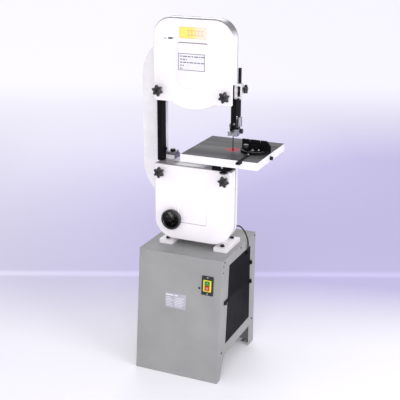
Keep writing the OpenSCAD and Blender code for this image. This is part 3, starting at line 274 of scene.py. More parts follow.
def makeBadgeFilm(low, high):
    # one printed strip: strong yellow at its left that thins out to a pinkish white
    material, tree, surface, place = newFinish("YellowPrintedFilm")
    split = addNode(tree, "ShaderNodeSeparateXYZ", None, {0: place})
    along = addNode(tree, "ShaderNodeMapRange", {"interpolation_type": "SMOOTHSTEP"}, {
        "Value": split.outputs[0], "From Min": low.x + (high.x - low.x)*0.42,
        "From Max": low.x + (high.x - low.x)*0.80})
    mottle = addNode(tree, "ShaderNodeTexNoise", None, {"Vector": place, "Scale": perMetre(9), "Detail": 3.0})
    yellow = addNode(tree, "ShaderNodeMix", {"data_type": "RGBA"}, {0: mottle.outputs["Fac"],
                     6: linearFromHex("F0E77C"), 7: linearFromHex("EAE06A")})
    colour = addNode(tree, "ShaderNodeMix", {"data_type": "RGBA"}, {0: along.outputs[0], 6: yellow.outputs[2],
                     7: linearFromHex("F7E6D2")})
    tree.links.new(colour.outputs[2], surface.inputs["Base Color"])
    dull = addNode(tree, "ShaderNodeMapRange", None, {"Value": mottle.outputs["Fac"], "To Min": 0.28,
                   "To Max": 0.4})
    tree.links.new(dull.outputs[0], surface.inputs["Roughness"])
    bump = addNode(tree, "ShaderNodeBump", None, {"Height": mottle.outputs["Fac"], "Distance": 0.01*mm})
    tree.links.new(bump.outputs[0], surface.inputs["Normal"])
    return material


# shape helpers: each shape is (points, faces) in millimetres
def loft(rings, capFirst=True, closed=False):
    count = len(rings[0])
    points = [tuple(p) for ring in rings for p in ring]
    faces = []
    turns = len(rings) if closed else len(rings) - 1
    for r in range(turns):
        s = (r + 1) % len(rings)
        for k in range(count):
            n = (k + 1) % count
            faces.append((r*count + k, r*count + n, s*count + n, s*count + k))
    if not closed and capFirst:
        faces.append(tuple(reversed(range(count))))
    if not closed:
        faces.append(tuple((len(rings) - 1)*count + k for k in range(count)))
    return points, faces


def together(*shapes):
    points, faces = [], []
    for shape in shapes:
        start = len(points)
        points += shape[0]
        faces += [tuple(start + i for i in face) for face in shape[1]]
    return points, faces


def moved(shape, matrix):
    return [tuple(matrix @ Vector(p)) for p in shape[0]], shape[1]


def turned(profile, segments=48, closed=False):
    # profile: (distance along the axis, radius) pairs; the axis is z
    rings = [[(max(r, 0.01)*math.cos(2*math.pi*k/segments), max(r, 0.01)*math.sin(2*math.pi*k/segments), z)
              for k in range(segments)] for z, r in profile]
    return loft(rings, closed=closed)


def block(low, high, edge=0.4):
    # a box with small chamfers all round
    x0, y0, z0 = low
    x1, y1, z1 = high
    e = min(edge, (x1 - x0)/3, (y1 - y0)/3, (z1 - z0)/3)

    def ring(z, inset):
        a, b, c, d = x0 + inset, x1 - inset, y0 + inset, y1 - inset
        return [(a + e, c, z), (b - e, c, z), (b, c + e, z), (b, d - e, z), (b - e, d, z), (a + e, d, z),
                (a, d - e, z), (a, c + e, z)]
    return loft([ring(z0, e), ring(z0 + e, 0), ring(z1 - e, 0), ring(z1, e)])


def roundedLoop(x0, z0, x1, z1, lowRadius, topRadius, steps=10):
    loop = []
    for cx, cz, r, start in ((x1 - lowRadius, z0 + lowRadius, lowRadius, -90),
                             (x1 - topRadius, z1 - topRadius, topRadius, 0),
                             (x0 + topRadius, z1 - topRadius, topRadius, 90),
                             (x0 + lowRadius, z0 + lowRadius, lowRadius, 180)):
        for k in range(steps + 1):
            a = math.radians(start + 90*k/steps)
            loop.append((cx + r*math.cos(a), cz + r*math.sin(a)))
    return loop


def insetLoop(loop, distance):
    # moves a counter-clockwise loop inwards along its corner normals
    result, n = [], len(loop)
    for i in range(n):
        before, here, after = (Vector(loop[(i + k) % n]) for k in (-1, 0, 1))
        a, b = here - before, after - here
        if a.length < 1e-6:
            a = b
        if b.length < 1e-6:
            b = a
        na, nb = Vector((-a.y, a.x)).normalized(), Vector((-b.y, b.x)).normalized()
        middle = na + nb
        middle = middle.normalized() if middle.length > 1e-6 else na
        result.append(tuple(here + middle*distance/max(middle.dot(na), 0.5)))
    return result


def toAxis(centre, direction):
    turn = Vector(direction).to_track_quat("Z", "Y").to_matrix().to_4x4()
    return Matrix.Translation(centre) @ turn


def atDepth(loop, y):
    return [(x, y, z) for x, z in loop]


def meshOf(name, shape):
    mesh = bpy.data.meshes.new(name)
    mesh.from_pydata([tuple(c*mm for c in p) for p in shape[0]], [], shape[1])
    return mesh


def makePiece(name, shape, body, material, replaced=(), smooth=40, extra=()):
    mesh = meshOf(name, shape)
    tidy = bmesh.new()
    tidy.from_mesh(mesh)
    bmesh.ops.remove_doubles(tidy, verts=tidy.verts, dist=2e-6)
    bmesh.ops.recalc_face_normals(tidy, faces=tidy.faces)
    tidy.to_mesh(mesh)
    tidy.free()
    mesh.shade_smooth()
    mesh.set_sharp_from_angle(angle=math.radians(smooth))
    for item in (material, *extra):
        mesh.materials.append(item)
    piece = bpy.data.objects.new(name, mesh)
    bpy.context.scene.collection.objects.link(piece)
    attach(piece, body)
    if replaced:
        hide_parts(*replaced)
    return piece


bodyOf = {node: body for body, nodes in frame["record"]["behaviour"]["bodies"].items() for node in nodes}


def roundedCopy(node, width, material, name=None, smooth=32, faceRule=None, extra=()):
    # the same solid with its sharp edges broken, in place of the plain node
    source = frame["nodes"][node].data
    work = bmesh.new()
    work.from_mesh(source)
    bmesh.ops.remove_doubles(work, verts=work.verts, dist=5e-6)
    bmesh.ops.dissolve_limit(work, angle_limit=math.radians(1.0), verts=work.verts, edges=work.edges)
    work.verts.ensure_lookup_table()
    points = [tuple(v.co/mm) for v in work.verts]
    faces = [tuple(v.index for v in f.verts) for f in work.faces]
    work.free()
    piece = makePiece(name or node + "_finished", (points, faces), bodyOf[node], material, (node,),
                      smooth=smooth, extra=extra)
    if faceRule:
        for face in piece.data.polygons:
            face.material_index = faceRule(face)
    rounding = piece.modifiers.new("edges", "BEVEL")
    rounding.width, rounding.segments, rounding.limit_method = width*mm, 2, "ANGLE"
    rounding.angle_limit = math.radians(35)
    rounding.miter_outer = "MITER_ARC"
    return piece


def limits(node):
    low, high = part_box(node)
    return low/mm, high/mm


# lead and its glands
def makeLead():
    curve = bpy.data.curves.new("lead_cable", "CURVE")
    curve.dimensions = "3D"
    line = curve.splines.new("POLY")
    line.points.add(len(leadPath) - 1)
    for point, p in zip(line.points, leadPath):
        point.co = (*p, 1)
    curve.bevel_depth, curve.bevel_resolution, curve.use_fill_caps = leadSet["diameter"]/2*mm, 4, True
    curve.materials.append(finish["pvcJacket"])
    cable = bpy.data.objects.new("lead_cable", curve)
    bpy.context.scene.collection.objects.link(cable)
    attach(cable, rootBody)
    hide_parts("lead")
    # tapered strain reliefs: ribbed towards the lead, a hexagon against the housing
    bushes = []
    for end, after, length in ((leadPath[0], leadPath[3], 24), (leadPath[-1], leadPath[-4], 22)):
        axis = (after - end).normalized()
        profile = [(-11, 7.2), (-7, 7.2), (-6.6, 6.2), (-3, 6.0)]
        for k in range(6):
            z = -2 + k*(length - 8)/6
            ridge, groove = 5.9 - k*0.32, 5.1 - k*0.30
            profile += [(z, ridge), (z + 1.2, ridge), (z + 1.4, groove), (z + 2.2, groove)]
        profile += [(length - 7, 4.2), (length - 6, 3.7)]
        turn = axis.to_track_quat("Z", "Y").to_matrix().to_4x4()
        bushes.append(moved(turned(profile, 28), Matrix.Translation(end/mm) @ turn))
    gland = makePiece("lead_gland_bushes", together(*bushes), rootBody, finish["phenolic"],
                      ("lead_glands",))


makeLead()

# wheel covers
print("covers")
# flatDrop and wheelDrop: from the wheel's axle down to the flat bottom edge and up to the top of its cover
coverSet = {"fillet": 7, "sheet": 2.5, "topCorner": 88, "upperLowCorner": 11, "belly": 212, "wheelDrop": 201,
            "flatDrop": 181, "lowerAxle": 186, "lowerTop": 12, "lowerBottom": 96, "fieldHeight": 6.0,
            "fieldSlope": 2.2, "labelDepth": 1.5}


def coverShell(loop, front, back):
    rings = [atDepth(insetLoop(loop, 0), back)]
    r = coverSet["fillet"]
    for k in range(9):
        a = math.radians(90*k/8)
        rings.append(atDepth(insetLoop(loop, r*(1 - math.cos(a))), front + r*(1 - math.sin(a))))
    outside = loft(rings, capFirst=False)
    t = coverSet["sheet"]
    inner = []
    for k in range(7):
        a = math.radians(90*k/6)
        inset, depth = t + (r - t)*(1 - math.cos(a)), front + t + (r - t)*(1 - math.sin(a))
        inner.append(atDepth(insetLoop(loop, inset), depth))
    inside = loft([atDepth(insetLoop(loop, t), back)] + inner, capFirst=False)
    count = len(loop)
    start = len(outside[0])
    points = outside[0] + inside[0]
    faces = outside[1] + [tuple(start + i for i in reversed(f)) for f in inside[1]]
    faces += [(k, (k + 1) % count, start + (k + 1) % count, start + k) for k in range(count)]
    return points, faces


def raisedField(loop, front, height):
    # a field pressed out of the sheet, with a soft step round it
    slope = coverSet["fieldSlope"]
    rings = [atDepth(insetLoop(loop, -slope), front + 0.4), atDepth(insetLoop(loop, -slope), front - 0.05)]
    for share, drop in ((-0.5, 0.10), (0.0, 0.22), (0.2, 0.5), (0.35, 0.78), (0.7, 0.95), (1.2, 1.0)):
        rings.append(atDepth(insetLoop(loop, slope*share), front - height*drop))
    return loft(rings, capFirst=False)


def cutterOf(shape):
    cutter = bpy.data.objects.new("cutter", meshOf("cutter", shape))
    bpy.context.scene.collection.objects.link(cutter)
    return cutter


def carve(piece, cutter):
    # takes the cutter out of the piece and keeps the result as its mesh
    cut = piece.modifiers.new("cut", "BOOLEAN")
    cut.operation, cut.object, cut.solver = "DIFFERENCE", cutter, "EXACT"
    bpy.context.view_layer.update()
    result = bpy.data.meshes.new_from_object(piece.evaluated_get(bpy.context.evaluated_depsgraph_get()))
    piece.modifiers.clear()
    piece.data = result
    bpy.data.objects.remove(cutter)


def cutAway(piece, shapes):
    carve(piece, cutterOf(together(*shapes)))


def makeTray(piece, tray, keepRing):
    # lets the tray into the piece, except where the ring keeps the full sheet
    cutter = cutterOf(tray)
    cutAway(cutter, [keepRing])
    carve(piece, cutter)


def makeGapShade(loop, back, body, gaps):
    # painted shade: a dark strip between a cover and the casting stands in for the shadow in the gap, and shows as a
    # thin dark line
    rings = [atDepth(insetLoop(loop, -0.5), back - 3), atDepth(insetLoop(loop, -0.5), back - 0.1),
             atDepth(insetLoop(loop, 1.2), back - 0.1), atDepth(insetLoop(loop, 1.2), back - 3)]
    strip = makePiece("gap_shade_of_" + body, loft(rings, closed=True), body, finish["beltRubber"])
    cutAway(strip, gaps)


def makeCovers():
    low, high = limits("upper_cover")
    front, back = low.y + coverSet["labelDepth"], high.y
    middle = (low.x + high.x)/2
    axle = high.z - coverSet["wheelDrop"]
    flat = axle - coverSet["flatDrop"]
    loop = roundedLoop(low.x, flat, high.x, high.z, coverSet["upperLowCorner"], coverSet["topCorner"], 16)
    # the belly below the wheel replaces the middle of the bottom edge
    radius = coverSet["belly"]
    reach = math.acos(coverSet["flatDrop"]/radius)
    belly = [(middle + radius*math.sin(a), axle - radius*math.cos(a))
             for a in [-reach + 2*reach*k/32 for k in range(33)]]
    loop = belly + loop
    upper = makePiece("upper_cover_shell", coverShell(loop, front, back), "upper_cover",
                      finish["pressedEnamel"], ("upper_cover",), smooth=30)
    guardLow, guardHigh = limits("blade_guard")
    returnLow, returnHigh = limits("return_guard")
    gaps = [block((guardLow.x - 4, front + 6, flat - 60), (high.x + 3, back + 1, guardHigh.z + 70), 0.01),
            block((returnLow.x + 5, back - 6, flat - 8), (returnHigh.x + 5, back + 1, flat + 12), 0.01)]
    cutAway(upper, gaps)
    makeGapShade(loop, back, "upper_cover", gaps)
    field = roundedLoop(middle - 71, axle - 113, middle + 76, axle + 92, 45, 10, 12)
    makePiece("upper_cover_field", raisedField(field, front, coverSet["fieldHeight"]), "upper_cover",
              finish["pressedEnamel"], smooth=60)

    low, high = limits("lower_cover")
    front, back = low.y + coverSet["labelDepth"], high.y
    axle = low.z + coverSet["lowerAxle"]
    loop = roundedLoop(low.x, low.z, high.x, high.z, coverSet["lowerBottom"], coverSet["lowerTop"], 16)
    lower = makePiece("lower_cover_shell", coverShell(loop, front, back), bodyOf["lower_cover"],
                      finish["pressedEnamel"], ("lower_cover",), smooth=30)
    bladeLow, bladeHigh = limits("blade")
    portLow, portHigh = limits("dust_port")
    centre = Vector(((portLow.x + portHigh.x)/2, 0, (portLow.z + portHigh.z)/2))
    mouth = (portHigh.x - portLow.x)/2 - 9.6
    hole = moved(turned([(front - 30, mouth), (front + 30, mouth)], 64),
                 toAxis((centre.x, 0, centre.z), (0, 1, 0)))
    # the sunk field of the lower cover: a shallow tray let into the sheet
    sunk = roundedLoop(middle - 71, axle - 98, middle + 76, axle + 129, 12, 12, 8)
    around = [(centre.x + 52*math.cos(math.radians(a)), centre.z + 52*math.sin(math.radians(a)))
              for a in range(0, 360, 6)]
    tray = loft([atDepth(insetLoop(sunk, -0.6), front - 4), atDepth(insetLoop(sunk, -0.6), front),
                 atDepth(insetLoop(sunk, 0.6), front + 1.9), atDepth(insetLoop(sunk, 1.6), front + 2.2)])
    keepRing = loft([atDepth(around, front - 6), atDepth(around, front + 4)])
    gaps = [block((x - 9, back - 6, high.z - 15), (x + 9, back + 1, high.z + 2), 0.01)
            for x in (bladeLow.x, bladeHigh.x)]
    cutAway(lower, [hole] + gaps)
    makeTray(lower, tray, keepRing)
    makeGapShade(loop, back, bodyOf["lower_cover"], gaps)


makeCovers()

# printed plates on the covers
plateSet = {"border": 2.4, "ink": 0.12}


def stripes(rows, y):
    # rows of generic printed marks: (x from, x to, z from, z to)
    return together(*[block((a, y - plateSet["ink"], c), (b, y + 0.1, d), 0.03) for a, b, c, d in rows])


def outline(x0, z0, x1, z1, width, y):
    return stripes([(x0, x1, z1 - width, z1), (x0, x1, z0, z0 + width), (x0, x0 + width, z0, z1),
                    (x1 - width, x1, z0, z1)], y)


def makeCoverPlates():
    low, high = limits("cover_labels")
    front = low.y
    middle = (limits("upper_cover")[0].x + limits("upper_cover")[1].x)/2
    axle = limits("upper_cover")[1].z - coverSet["wheelDrop"]
    badge = (middle - 64, axle + 110, middle + 70, axle + 162)
    plate = (middle - 66, axle - 32, middle + 66, axle + 46)
    badgeFilm = makeBadgeFilm(Vector((badge[0], 0, badge[1]))*mm, Vector((badge[2], 0, badge[3]))*mm)
    loop = roundedLoop(*badge, 4, 4, 6)
    strip = loft([atDepth(loop, high.y), atDepth(loop, front + 0.25), atDepth(insetLoop(loop, 0.25), front)])
    makePiece("badge_film", strip, "upper_cover", badgeFilm, ("cover_labels",))
    x0, z0, x1, z1 = badge
    marks = []
    for k in range(5):
        a = x0 + 44 + k*16.5
        marks += [(a, a + 11, z0 + 14, z0 + 17), (a, a + 11, z1 - 17, z1 - 14), (a, a + 3, z0 + 14, z1 - 14)]
    makePiece("badge_blocks", together(stripes(marks, front), outline(x0 + 2, z0 + 2, x1 - 2, z1 - 2, 1.2, front)),
              "upper_cover", finish["pinkInk"])
    loop = roundedLoop(*plate, 2, 2, 4)
    sheet = loft([atDepth(loop, high.y), atDepth(loop, front + 0.2), atDepth(insetLoop(loop, 0.2), front)])
    # it lies on the raised field of the cover
    lift = Matrix.Translation((0, -coverSet["fieldHeight"] + 0.2, 0))
    makePiece("data_plate", moved(sheet, lift), "upper_cover", finish["plateFilm"])
    x0, z0, x1, z1 = plate
    face = front - coverSet["fieldHeight"] + 0.2
    rows = []
    for row, runs in enumerate(((8, 22, 13, 9, 20, 7, 14), (9, 12, 4), (10, 16, 8, 19, 11, 13, 15), (8, 6),
                                (7, 3))):
        x = x0 + 10
        z = z1 - 14 - row*13.5
        for run in runs:
            rows.append((x, x + run, z - 2.4, z + 2.0))
            x += run + 4
            if x > x1 - 16:
                break
    makePiece("data_plate_rows", stripes(rows, face), "upper_cover", finish["plateInk"])
    border = outline(x0 + 1, z0 + 1, x1 - 1, z1 - 1, plateSet["border"], face)
    makePiece("data_plate_border", border, "upper_cover", finish["plateInk"])
    # two small worn stickers at the left
    coverFace = limits("upper_cover")[0].y + coverSet["labelDepth"]
    makePiece("small_sticker", stripes([(middle - 118, middle - 96, axle + 104, axle + 112),
                                        (middle - 94, middle - 92, axle + 105, axle + 111)], coverFace),
              "upper_cover", finish["plateInk"])
    makePiece("faint_sticker", stripes([(middle - 140, middle - 124, axle + 103, axle + 108)], coverFace),
              "upper_cover", finish["paleInk"])


makeCoverPlates()

# star knobs
print("knobs")
knobSet = {"lobes": 6, "dip": 0.34}


def starShape(radius, thickness, neck, neckRadius, lobes, dip):
    # axis z, the face at z = 0 and the neck behind it
    count = lobes*12

    def ring(z, size, wave):
        points = []
        for k in range(count):
            a = 2*math.pi*k/count
            r = size*(1 - dip*wave*(0.5 - 0.5*math.cos(lobes*a))**0.8)
            points.append((r*math.cos(a), r*math.sin(a), z))
        return points
    rings = [ring(0, 0.05, 0)]
    for share, z in ((0.25, 0.1), (0.45, 0.5), (0.62, 1.6), (0.80, 2.4), (0.92, 3.4), (0.98, 5.2), (1.0, 8.0)):
        rings.append(ring(z, radius*share, min(1, share*1.1)))
    rings += [ring(thickness - 5, radius, 1), ring(thickness - 2, radius*0.97, 1), ring(thickness, radius*0.88, 1),
              ring(thickness + 0.5, neckRadius*1.25, 0.2), ring(thickness + 3, neckRadius, 0),
              ring(thickness + neck - 1.5, neckRadius, 0), ring(thickness + neck, neckRadius*0.86, 0)]
    return loft(rings)


def makeCoverKnobs():
    for index in range(1, 5):
        node = "cover_knob_%d" % index
        low, high = limits(node)
        centre = ((low.x + high.x)/2, low.y, (low.z + high.z)/2)
        spin = Matrix.Rotation(math.radians((17, 41, 29, 8)[index - 1]), 4, "Z")
        star = moved(starShape(27, 22, 14, 10.8, knobSet["lobes"], knobSet["dip"]),
                     toAxis(centre, (0, 1, 0)) @ spin)
        makePiece(node + "_star", star, node, finish["phenolic"], (node,), smooth=50)
        stud = [(0, 3.6), (0.8, 4)]
        for k in range(int((high.y - low.y - 40)/1.25)):
            stud += [(1 + k*1.25, 4), (1.5 + k*1.25, 3.5)]
        stud += [(high.y - low.y - 38, 3.4)]
        thread = moved(turned(stud, 20), toAxis((centre[0], low.y + 36.4, centre[2]), (0, 1, 0)))
        makePiece(node + "_stud", thread, node, finish["turnedSteel"], smooth=60)
        cap = turned([(-0.2, 0.1), (-0.2, 4.2), (0.2, 5.2), (1.2, 5.6)], 24)
        makePiece(node + "_cap", moved(cap, toAxis(centre, (0, 1, 0))), node, finish["blackOxide"])


def fluted(radius, depth, length, flutes, chamfer=1.0, segments=8):
    # a knurled or fluted hand wheel on the axis z
    count = flutes*segments

    def ring(z, size, cut):
        return [((size - cut*(0.5 + 0.5*math.cos(flutes*2*math.pi*k/count)))*math.cos(2*math.pi*k/count),
                 (size - cut*(0.5 + 0.5*math.cos(flutes*2*math.pi*k/count)))*math.sin(2*math.pi*k/count), z)
                for k in range(count)]
    return loft([ring(0, radius*0.5, 0), ring(0.2, radius - chamfer*1.6, 0), ring(chamfer, radius, depth),
                 ring(length - chamfer, radius, depth), ring(length - 0.2, radius - chamfer*1.6, 0),
                 ring(length, radius*0.5, 0)])


def makeHandKnobs():
    # clamp of the guide post: lobed, on the right of its boss
    low, high = limits("post_lock_knob")
    centre = (high.x, (low.y + high.y)/2, (low.z + high.z)/2)
    star = moved(starShape(22, 15, 4, 9, 5, 0.36), toAxis(centre, (-1, 0, 0)) @ Matrix.Rotation(0.5, 4, "Z"))
    makePiece("post_lock_star", star, "post_lock_knob", finish["phenolic"], ("post_lock_knob",),
              smooth=50)
    stud = turned([(0, 3.4), (0.6, 4), (high.x - low.x - 19, 4)], 20)
    makePiece("post_lock_stud", moved(stud, toAxis((low.x, centre[1], centre[2]), (1, 0, 0))), "post_lock_knob",
              finish["turnedSteel"])
    # guide knob: small and knurled
    low, high = limits("guide_knob")
    centre = (high.x, (low.y + high.y)/2, (low.z + high.z)/2)
    wheel = moved(fluted(11.5, 1.1, 14, 22), toAxis(centre, (-1, 0, 0)))
    makePiece("guide_knob_knurl", wheel, "guide_knob", finish["phenolic"], ("guide_knob",))
    stud = turned([(0, 2.2), (0.4, 2.5), (high.x - low.x - 13, 2.5)], 16)
    makePiece("guide_knob_stud", moved(stud, toAxis((low.x, centre[1], centre[2]), (1, 0, 0))), "guide_knob",
              finish["turnedSteel"])
    # tilt locks under the table
    for index in (1, 2):
        node = "tilt_lock_%d" % index
        low, high = limits(node)
        centre = ((low.x + high.x)/2, (low.y + high.y)/2, low.z)
        star = moved(starShape(20.8, 10, 1.6, 9, 6, 0.30),
                     toAxis(centre, (0, 0, 1)) @ Matrix.Rotation(0.2, 4, "Z"))
        makePiece(node + "_star", star, node, finish["phenolic"], (node,), smooth=50)
        stud = turned([(0, 3.8), (high.z - low.z - 12, 3.8), (high.z - low.z - 11, 3.2)], 20)
        makePiece(node + "_stud", moved(stud, toAxis((centre[0], centre[1], low.z + 10.8), (0, 0, 1))), node,
                  finish["turnedSteel"])
    # mitre gauge knob: tall and fluted
    low, high = limits("mitre_knob")
    centre = ((low.x + high.x)/2, (low.y + high.y)/2, high.z)
    grip = moved(fluted(13, 1.8, 23, 12, 1.6), toAxis(centre, (0, 0, -1)))
    makePiece("mitre_knob_grip", grip, "mitre_knob", finish["phenolic"], ("mitre_knob",),
              smooth=50)
    stud = turned([(0, 3.4), (0.6, 3.9), (10, 3.9)], 20)
    makePiece("mitre_knob_stud", moved(stud, toAxis((centre[0], centre[1], low.z), (0, 0, 1))), "mitre_knob",
              finish["turnedSteel"])
    # door knob
    low, high = limits("side_door_knob")
    centre = (high.x, (low.y + high.y)/2, (low.z + high.z)/2)
    grip = moved(fluted(8, 0.8, 11.5, 16, 1.2), toAxis(centre, (-1, 0, 0)))
    screw = moved(turned([(0, 2.4), (9, 2.4)], 16), toAxis((low.x, centre[1], centre[2]), (1, 0, 0)))
    makePiece("side_door_knob_grip", together(grip, screw), "side_door_knob", finish["phenolic"],
              ("side_door_knob",))


makeCoverKnobs()
makeHandKnobs()

# dust port
portSet = {"vanes": 9}


def makeDustPort():
    low, high = limits("dust_port")
    centre = ((low.x + high.x)/2, low.y, (low.z + high.z)/2)
    deep = high.y - low.y
    out = (high.x - low.x)/2
    profile = [(1.2, out - 9), (0.3, out - 7.8), (0, out - 6.5), (0, out - 2.4), (0.8, out - 0.8), (2.4, out),
               (4.5, out), (6, out - 1.2), (22.6, out - 1.8), (22.8, out - 9.9), (deep, out - 9.9),
               (deep, out - 12.6), (8, out - 12.2), (4, out - 10.5)]
    collar = moved(turned(profile, 72, True), toAxis(centre, (0, 1, 0)))
    # a grille of slanted vanes deep inside the mouth, round a plain hub
    vanes = []
    for k in range(portSet["vanes"]):
        turn = Matrix.Rotation(2*math.pi*k/portSet["vanes"] + 0.2, 4, "Z")
        tilt = Matrix.Translation((0, 0, deep - 6)) @ Matrix.Rotation(math.radians(24), 4, "X")
        vane = loft([[(5, -2.2, -0.8), (5, 2.2, -0.8), (5, 2.2, 0.8), (5, -2.2, 0.8)],
                     [(out - 11, -9.5, -0.8), (out - 11, 9.5, -0.8), (out - 11, 9.5, 0.8), (out - 11, -9.5, 0.8)]])
        vanes.append(moved(vane, toAxis(centre, (0, 1, 0)) @ turn @ tilt))
    hub = moved(turned([(deep - 10, 4), (deep - 9.2, 6.5), (deep - 2, 7)], 24), toAxis(centre, (0, 1, 0)))
    makePiece("dust_collar", together(collar, *vanes, hub), bodyOf["dust_port"], finish["phenolic"],
              ("dust_port",), smooth=45)


makeDustPort()

# castings, stand and table: the CAD solids with broken edges
print("castings, stand and table")
brokenEdges = {
    "stand_front": (0.5, "powderCoat"), "stand_right": (0.4, "powderCoat"), "stand_top": (0.7, "powderCoat"),
    "motor_shelf": (0.4, "powderCoat"),
    "return_guard": (0.9, "blackSheetPaint"), "blade_guard": (0.4, "blackSheetPaint"),
    "mitre_bar": (0.5, "blackSheetPaint"), "side_door": (0.3, "blackSheetPaint"),
    "table_insert": (0.3, "redInsert"), "lower_guide": (0.4, "turnedSteel"),
    "wheel_slide": (1.0, "wheelIron"), "wheel_hinge": (0.6, "turnedSteel"), "tension_screw": (0.8, "blackOxide"),
    "tracking_knob": (1.0, "phenolic"), "table_pin": (0.8, "blackOxide"),
    "guide_post": (0.8, "blackOxide"), "motor": (1.5, "hammeredPaint"),
}
# round pieces, and louvred panels whose thin slots leave no room for a broken edge
plainNodes = {
    "stand_back": "powderCoat", "stand_left": "powderCoat", "stand_screws": "blackOxide",
    "motor_pulley": "turnedSteel", "drive_belt": "beltRubber", "driven_pulley": "turnedSteel",
    "lower_shaft": "turnedSteel", "lower_bearings": "turnedSteel",
    "lower_wheel": "wheelIron", "upper_wheel": "wheelIron", "lower_tyre": "tyreRubber", "upper_tyre": "tyreRubber",
    "tension_spring": "springSteel",
}
for node, (width, coat) in brokenEdges.items():
    roundedCopy(node, width, finish[coat])


def makeCastings():
    # enamelled all over, but for the machined foot and joint face between the two castings
    joint = limits("upper_frame")[0].z
    columnRight = limits("upper_frame")[0].x + 102

    def footCoat(face):
        x, z = face.center.x/mm, face.center.z/mm
        return 1 if z < joint + 33 and x > columnRight - 0.5 else 0
    roundedCopy("upper_frame", 1.6, finish["castEnamel"], faceRule=footCoat, extra=(finish["machinedIron"],))

    def stumpCoat(face):
        x, z = face.center.x/mm, face.center.z/mm
        return 1 if z > joint - 29 and x < columnRight + 64 and face.center.y > -1*mm else 0
    roundedCopy("lower_frame", 1.2, finish["castEnamel"], faceRule=stumpCoat, extra=(finish["machinedIron"],))


makeCastings()


def makeTiltParts():
    pad = limits("lower_guide")
    boltX = pad[0].x - 23
    bridgeTop = pad[0].z + 18

    def bracketCoat(face):
        x, y, z = face.center/mm
        bolt = bridgeTop - 0.5 < z < bridgeTop + 9 and abs(x - boltX) < 7.3 and abs(y) < 60
        return 1 if bolt else 0
    roundedCopy("table_bracket", 1.0, finish["blackSheetPaint"], faceRule=bracketCoat,
                extra=(finish["turnedSteel"],))
    front = limits("trunnions")[0].y
    roundedCopy("trunnions", 1.0, finish["blackSheetPaint"], extra=(finish["turnedSteel"],),
                faceRule=lambda face: 1 if face.center.y < (front + 2.9)*mm else 0)


makeTiltParts()


def makeThrustBearings():
    # steel races with a dark seal between them
    for node in ("upper_thrust_bearing", "lower_thrust_bearing"):
        low, high = limits(node)
        centre = ((low.x + high.x)/2, low.y, (low.z + high.z)/2)
        outer, width = (high.x - low.x)/2, high.y - low.y
        place = toAxis(centre, (0, 1, 0))
        races = together(*[moved(turned([(0.5, a), (0, a + 0.5), (0, b - 0.5), (0.5, b), (width - 0.5, b),
                                         (width, b - 0.5), (width, a + 0.5), (width - 0.5, a)], 48, True), place)
                           for a, b in ((outer*0.32, outer*0.52), (outer*0.78, outer))])
        makePiece(node + "_races", races, bodyOf[node], finish["turnedSteel"], (node,), smooth=30)
        seal = moved(turned([(0.7, outer*0.5), (0.5, outer*0.6), (0.7, outer*0.8), (width - 0.7, outer*0.8),
                             (width - 0.5, outer*0.6), (width - 0.7, outer*0.5)], 48, True), place)
        makePiece(node + "_seal", seal, bodyOf[node], finish["beltRubber"])


makeThrustBearings()
for node, coat in plainNodes.items():
    solid = frame["nodes"][node]
    solid.data.materials.clear()
    solid.data.materials.append(finish[coat])


def makeTable():
    low, high = limits("table")
    top = high.z*mm

    def coatOf(face):
        # the top and its slots are ground iron; the rim and ribs are painted
        worked = face.center.z > top - 10.5*mm and (abs(face.normal.z) > 0.5 or not (
            abs(face.center.x/mm - low.x) < 0.5 or abs(face.center.x/mm - high.x) < 0.5
            or abs(face.center.y/mm - low.y) < 0.5 or abs(face.center.y/mm - high.y) < 0.5))
        return 0 if worked else 1
    roundedCopy("table", 1.2, finish["groundIron"], "table_casting", faceRule=coatOf,
                extra=(finish["castEnamel"],))


makeTable()


# upper guide: black carrier, bright jaws, collars and screws
def socketScrew(centre, direction, radius, height):
    # cap screw with a hexagon recess
    body = turned([(0, radius*0.98), (0.0, radius), (height*0.8, radius), (height, radius*0.88),
                   (height, radius*0.55), (height*0.45, radius*0.5), (height*0.45, 0.05)], 24)
    return moved(body, toAxis(centre, direction))


def slottedScrew(centre, direction, radius, height):
    dome = turned([(0, radius), (height*0.35, radius), (height*0.75, radius*0.86), (height, radius*0.5),
                   (height, 0.05)], 24)
    return moved(dome, toAxis(centre, direction))


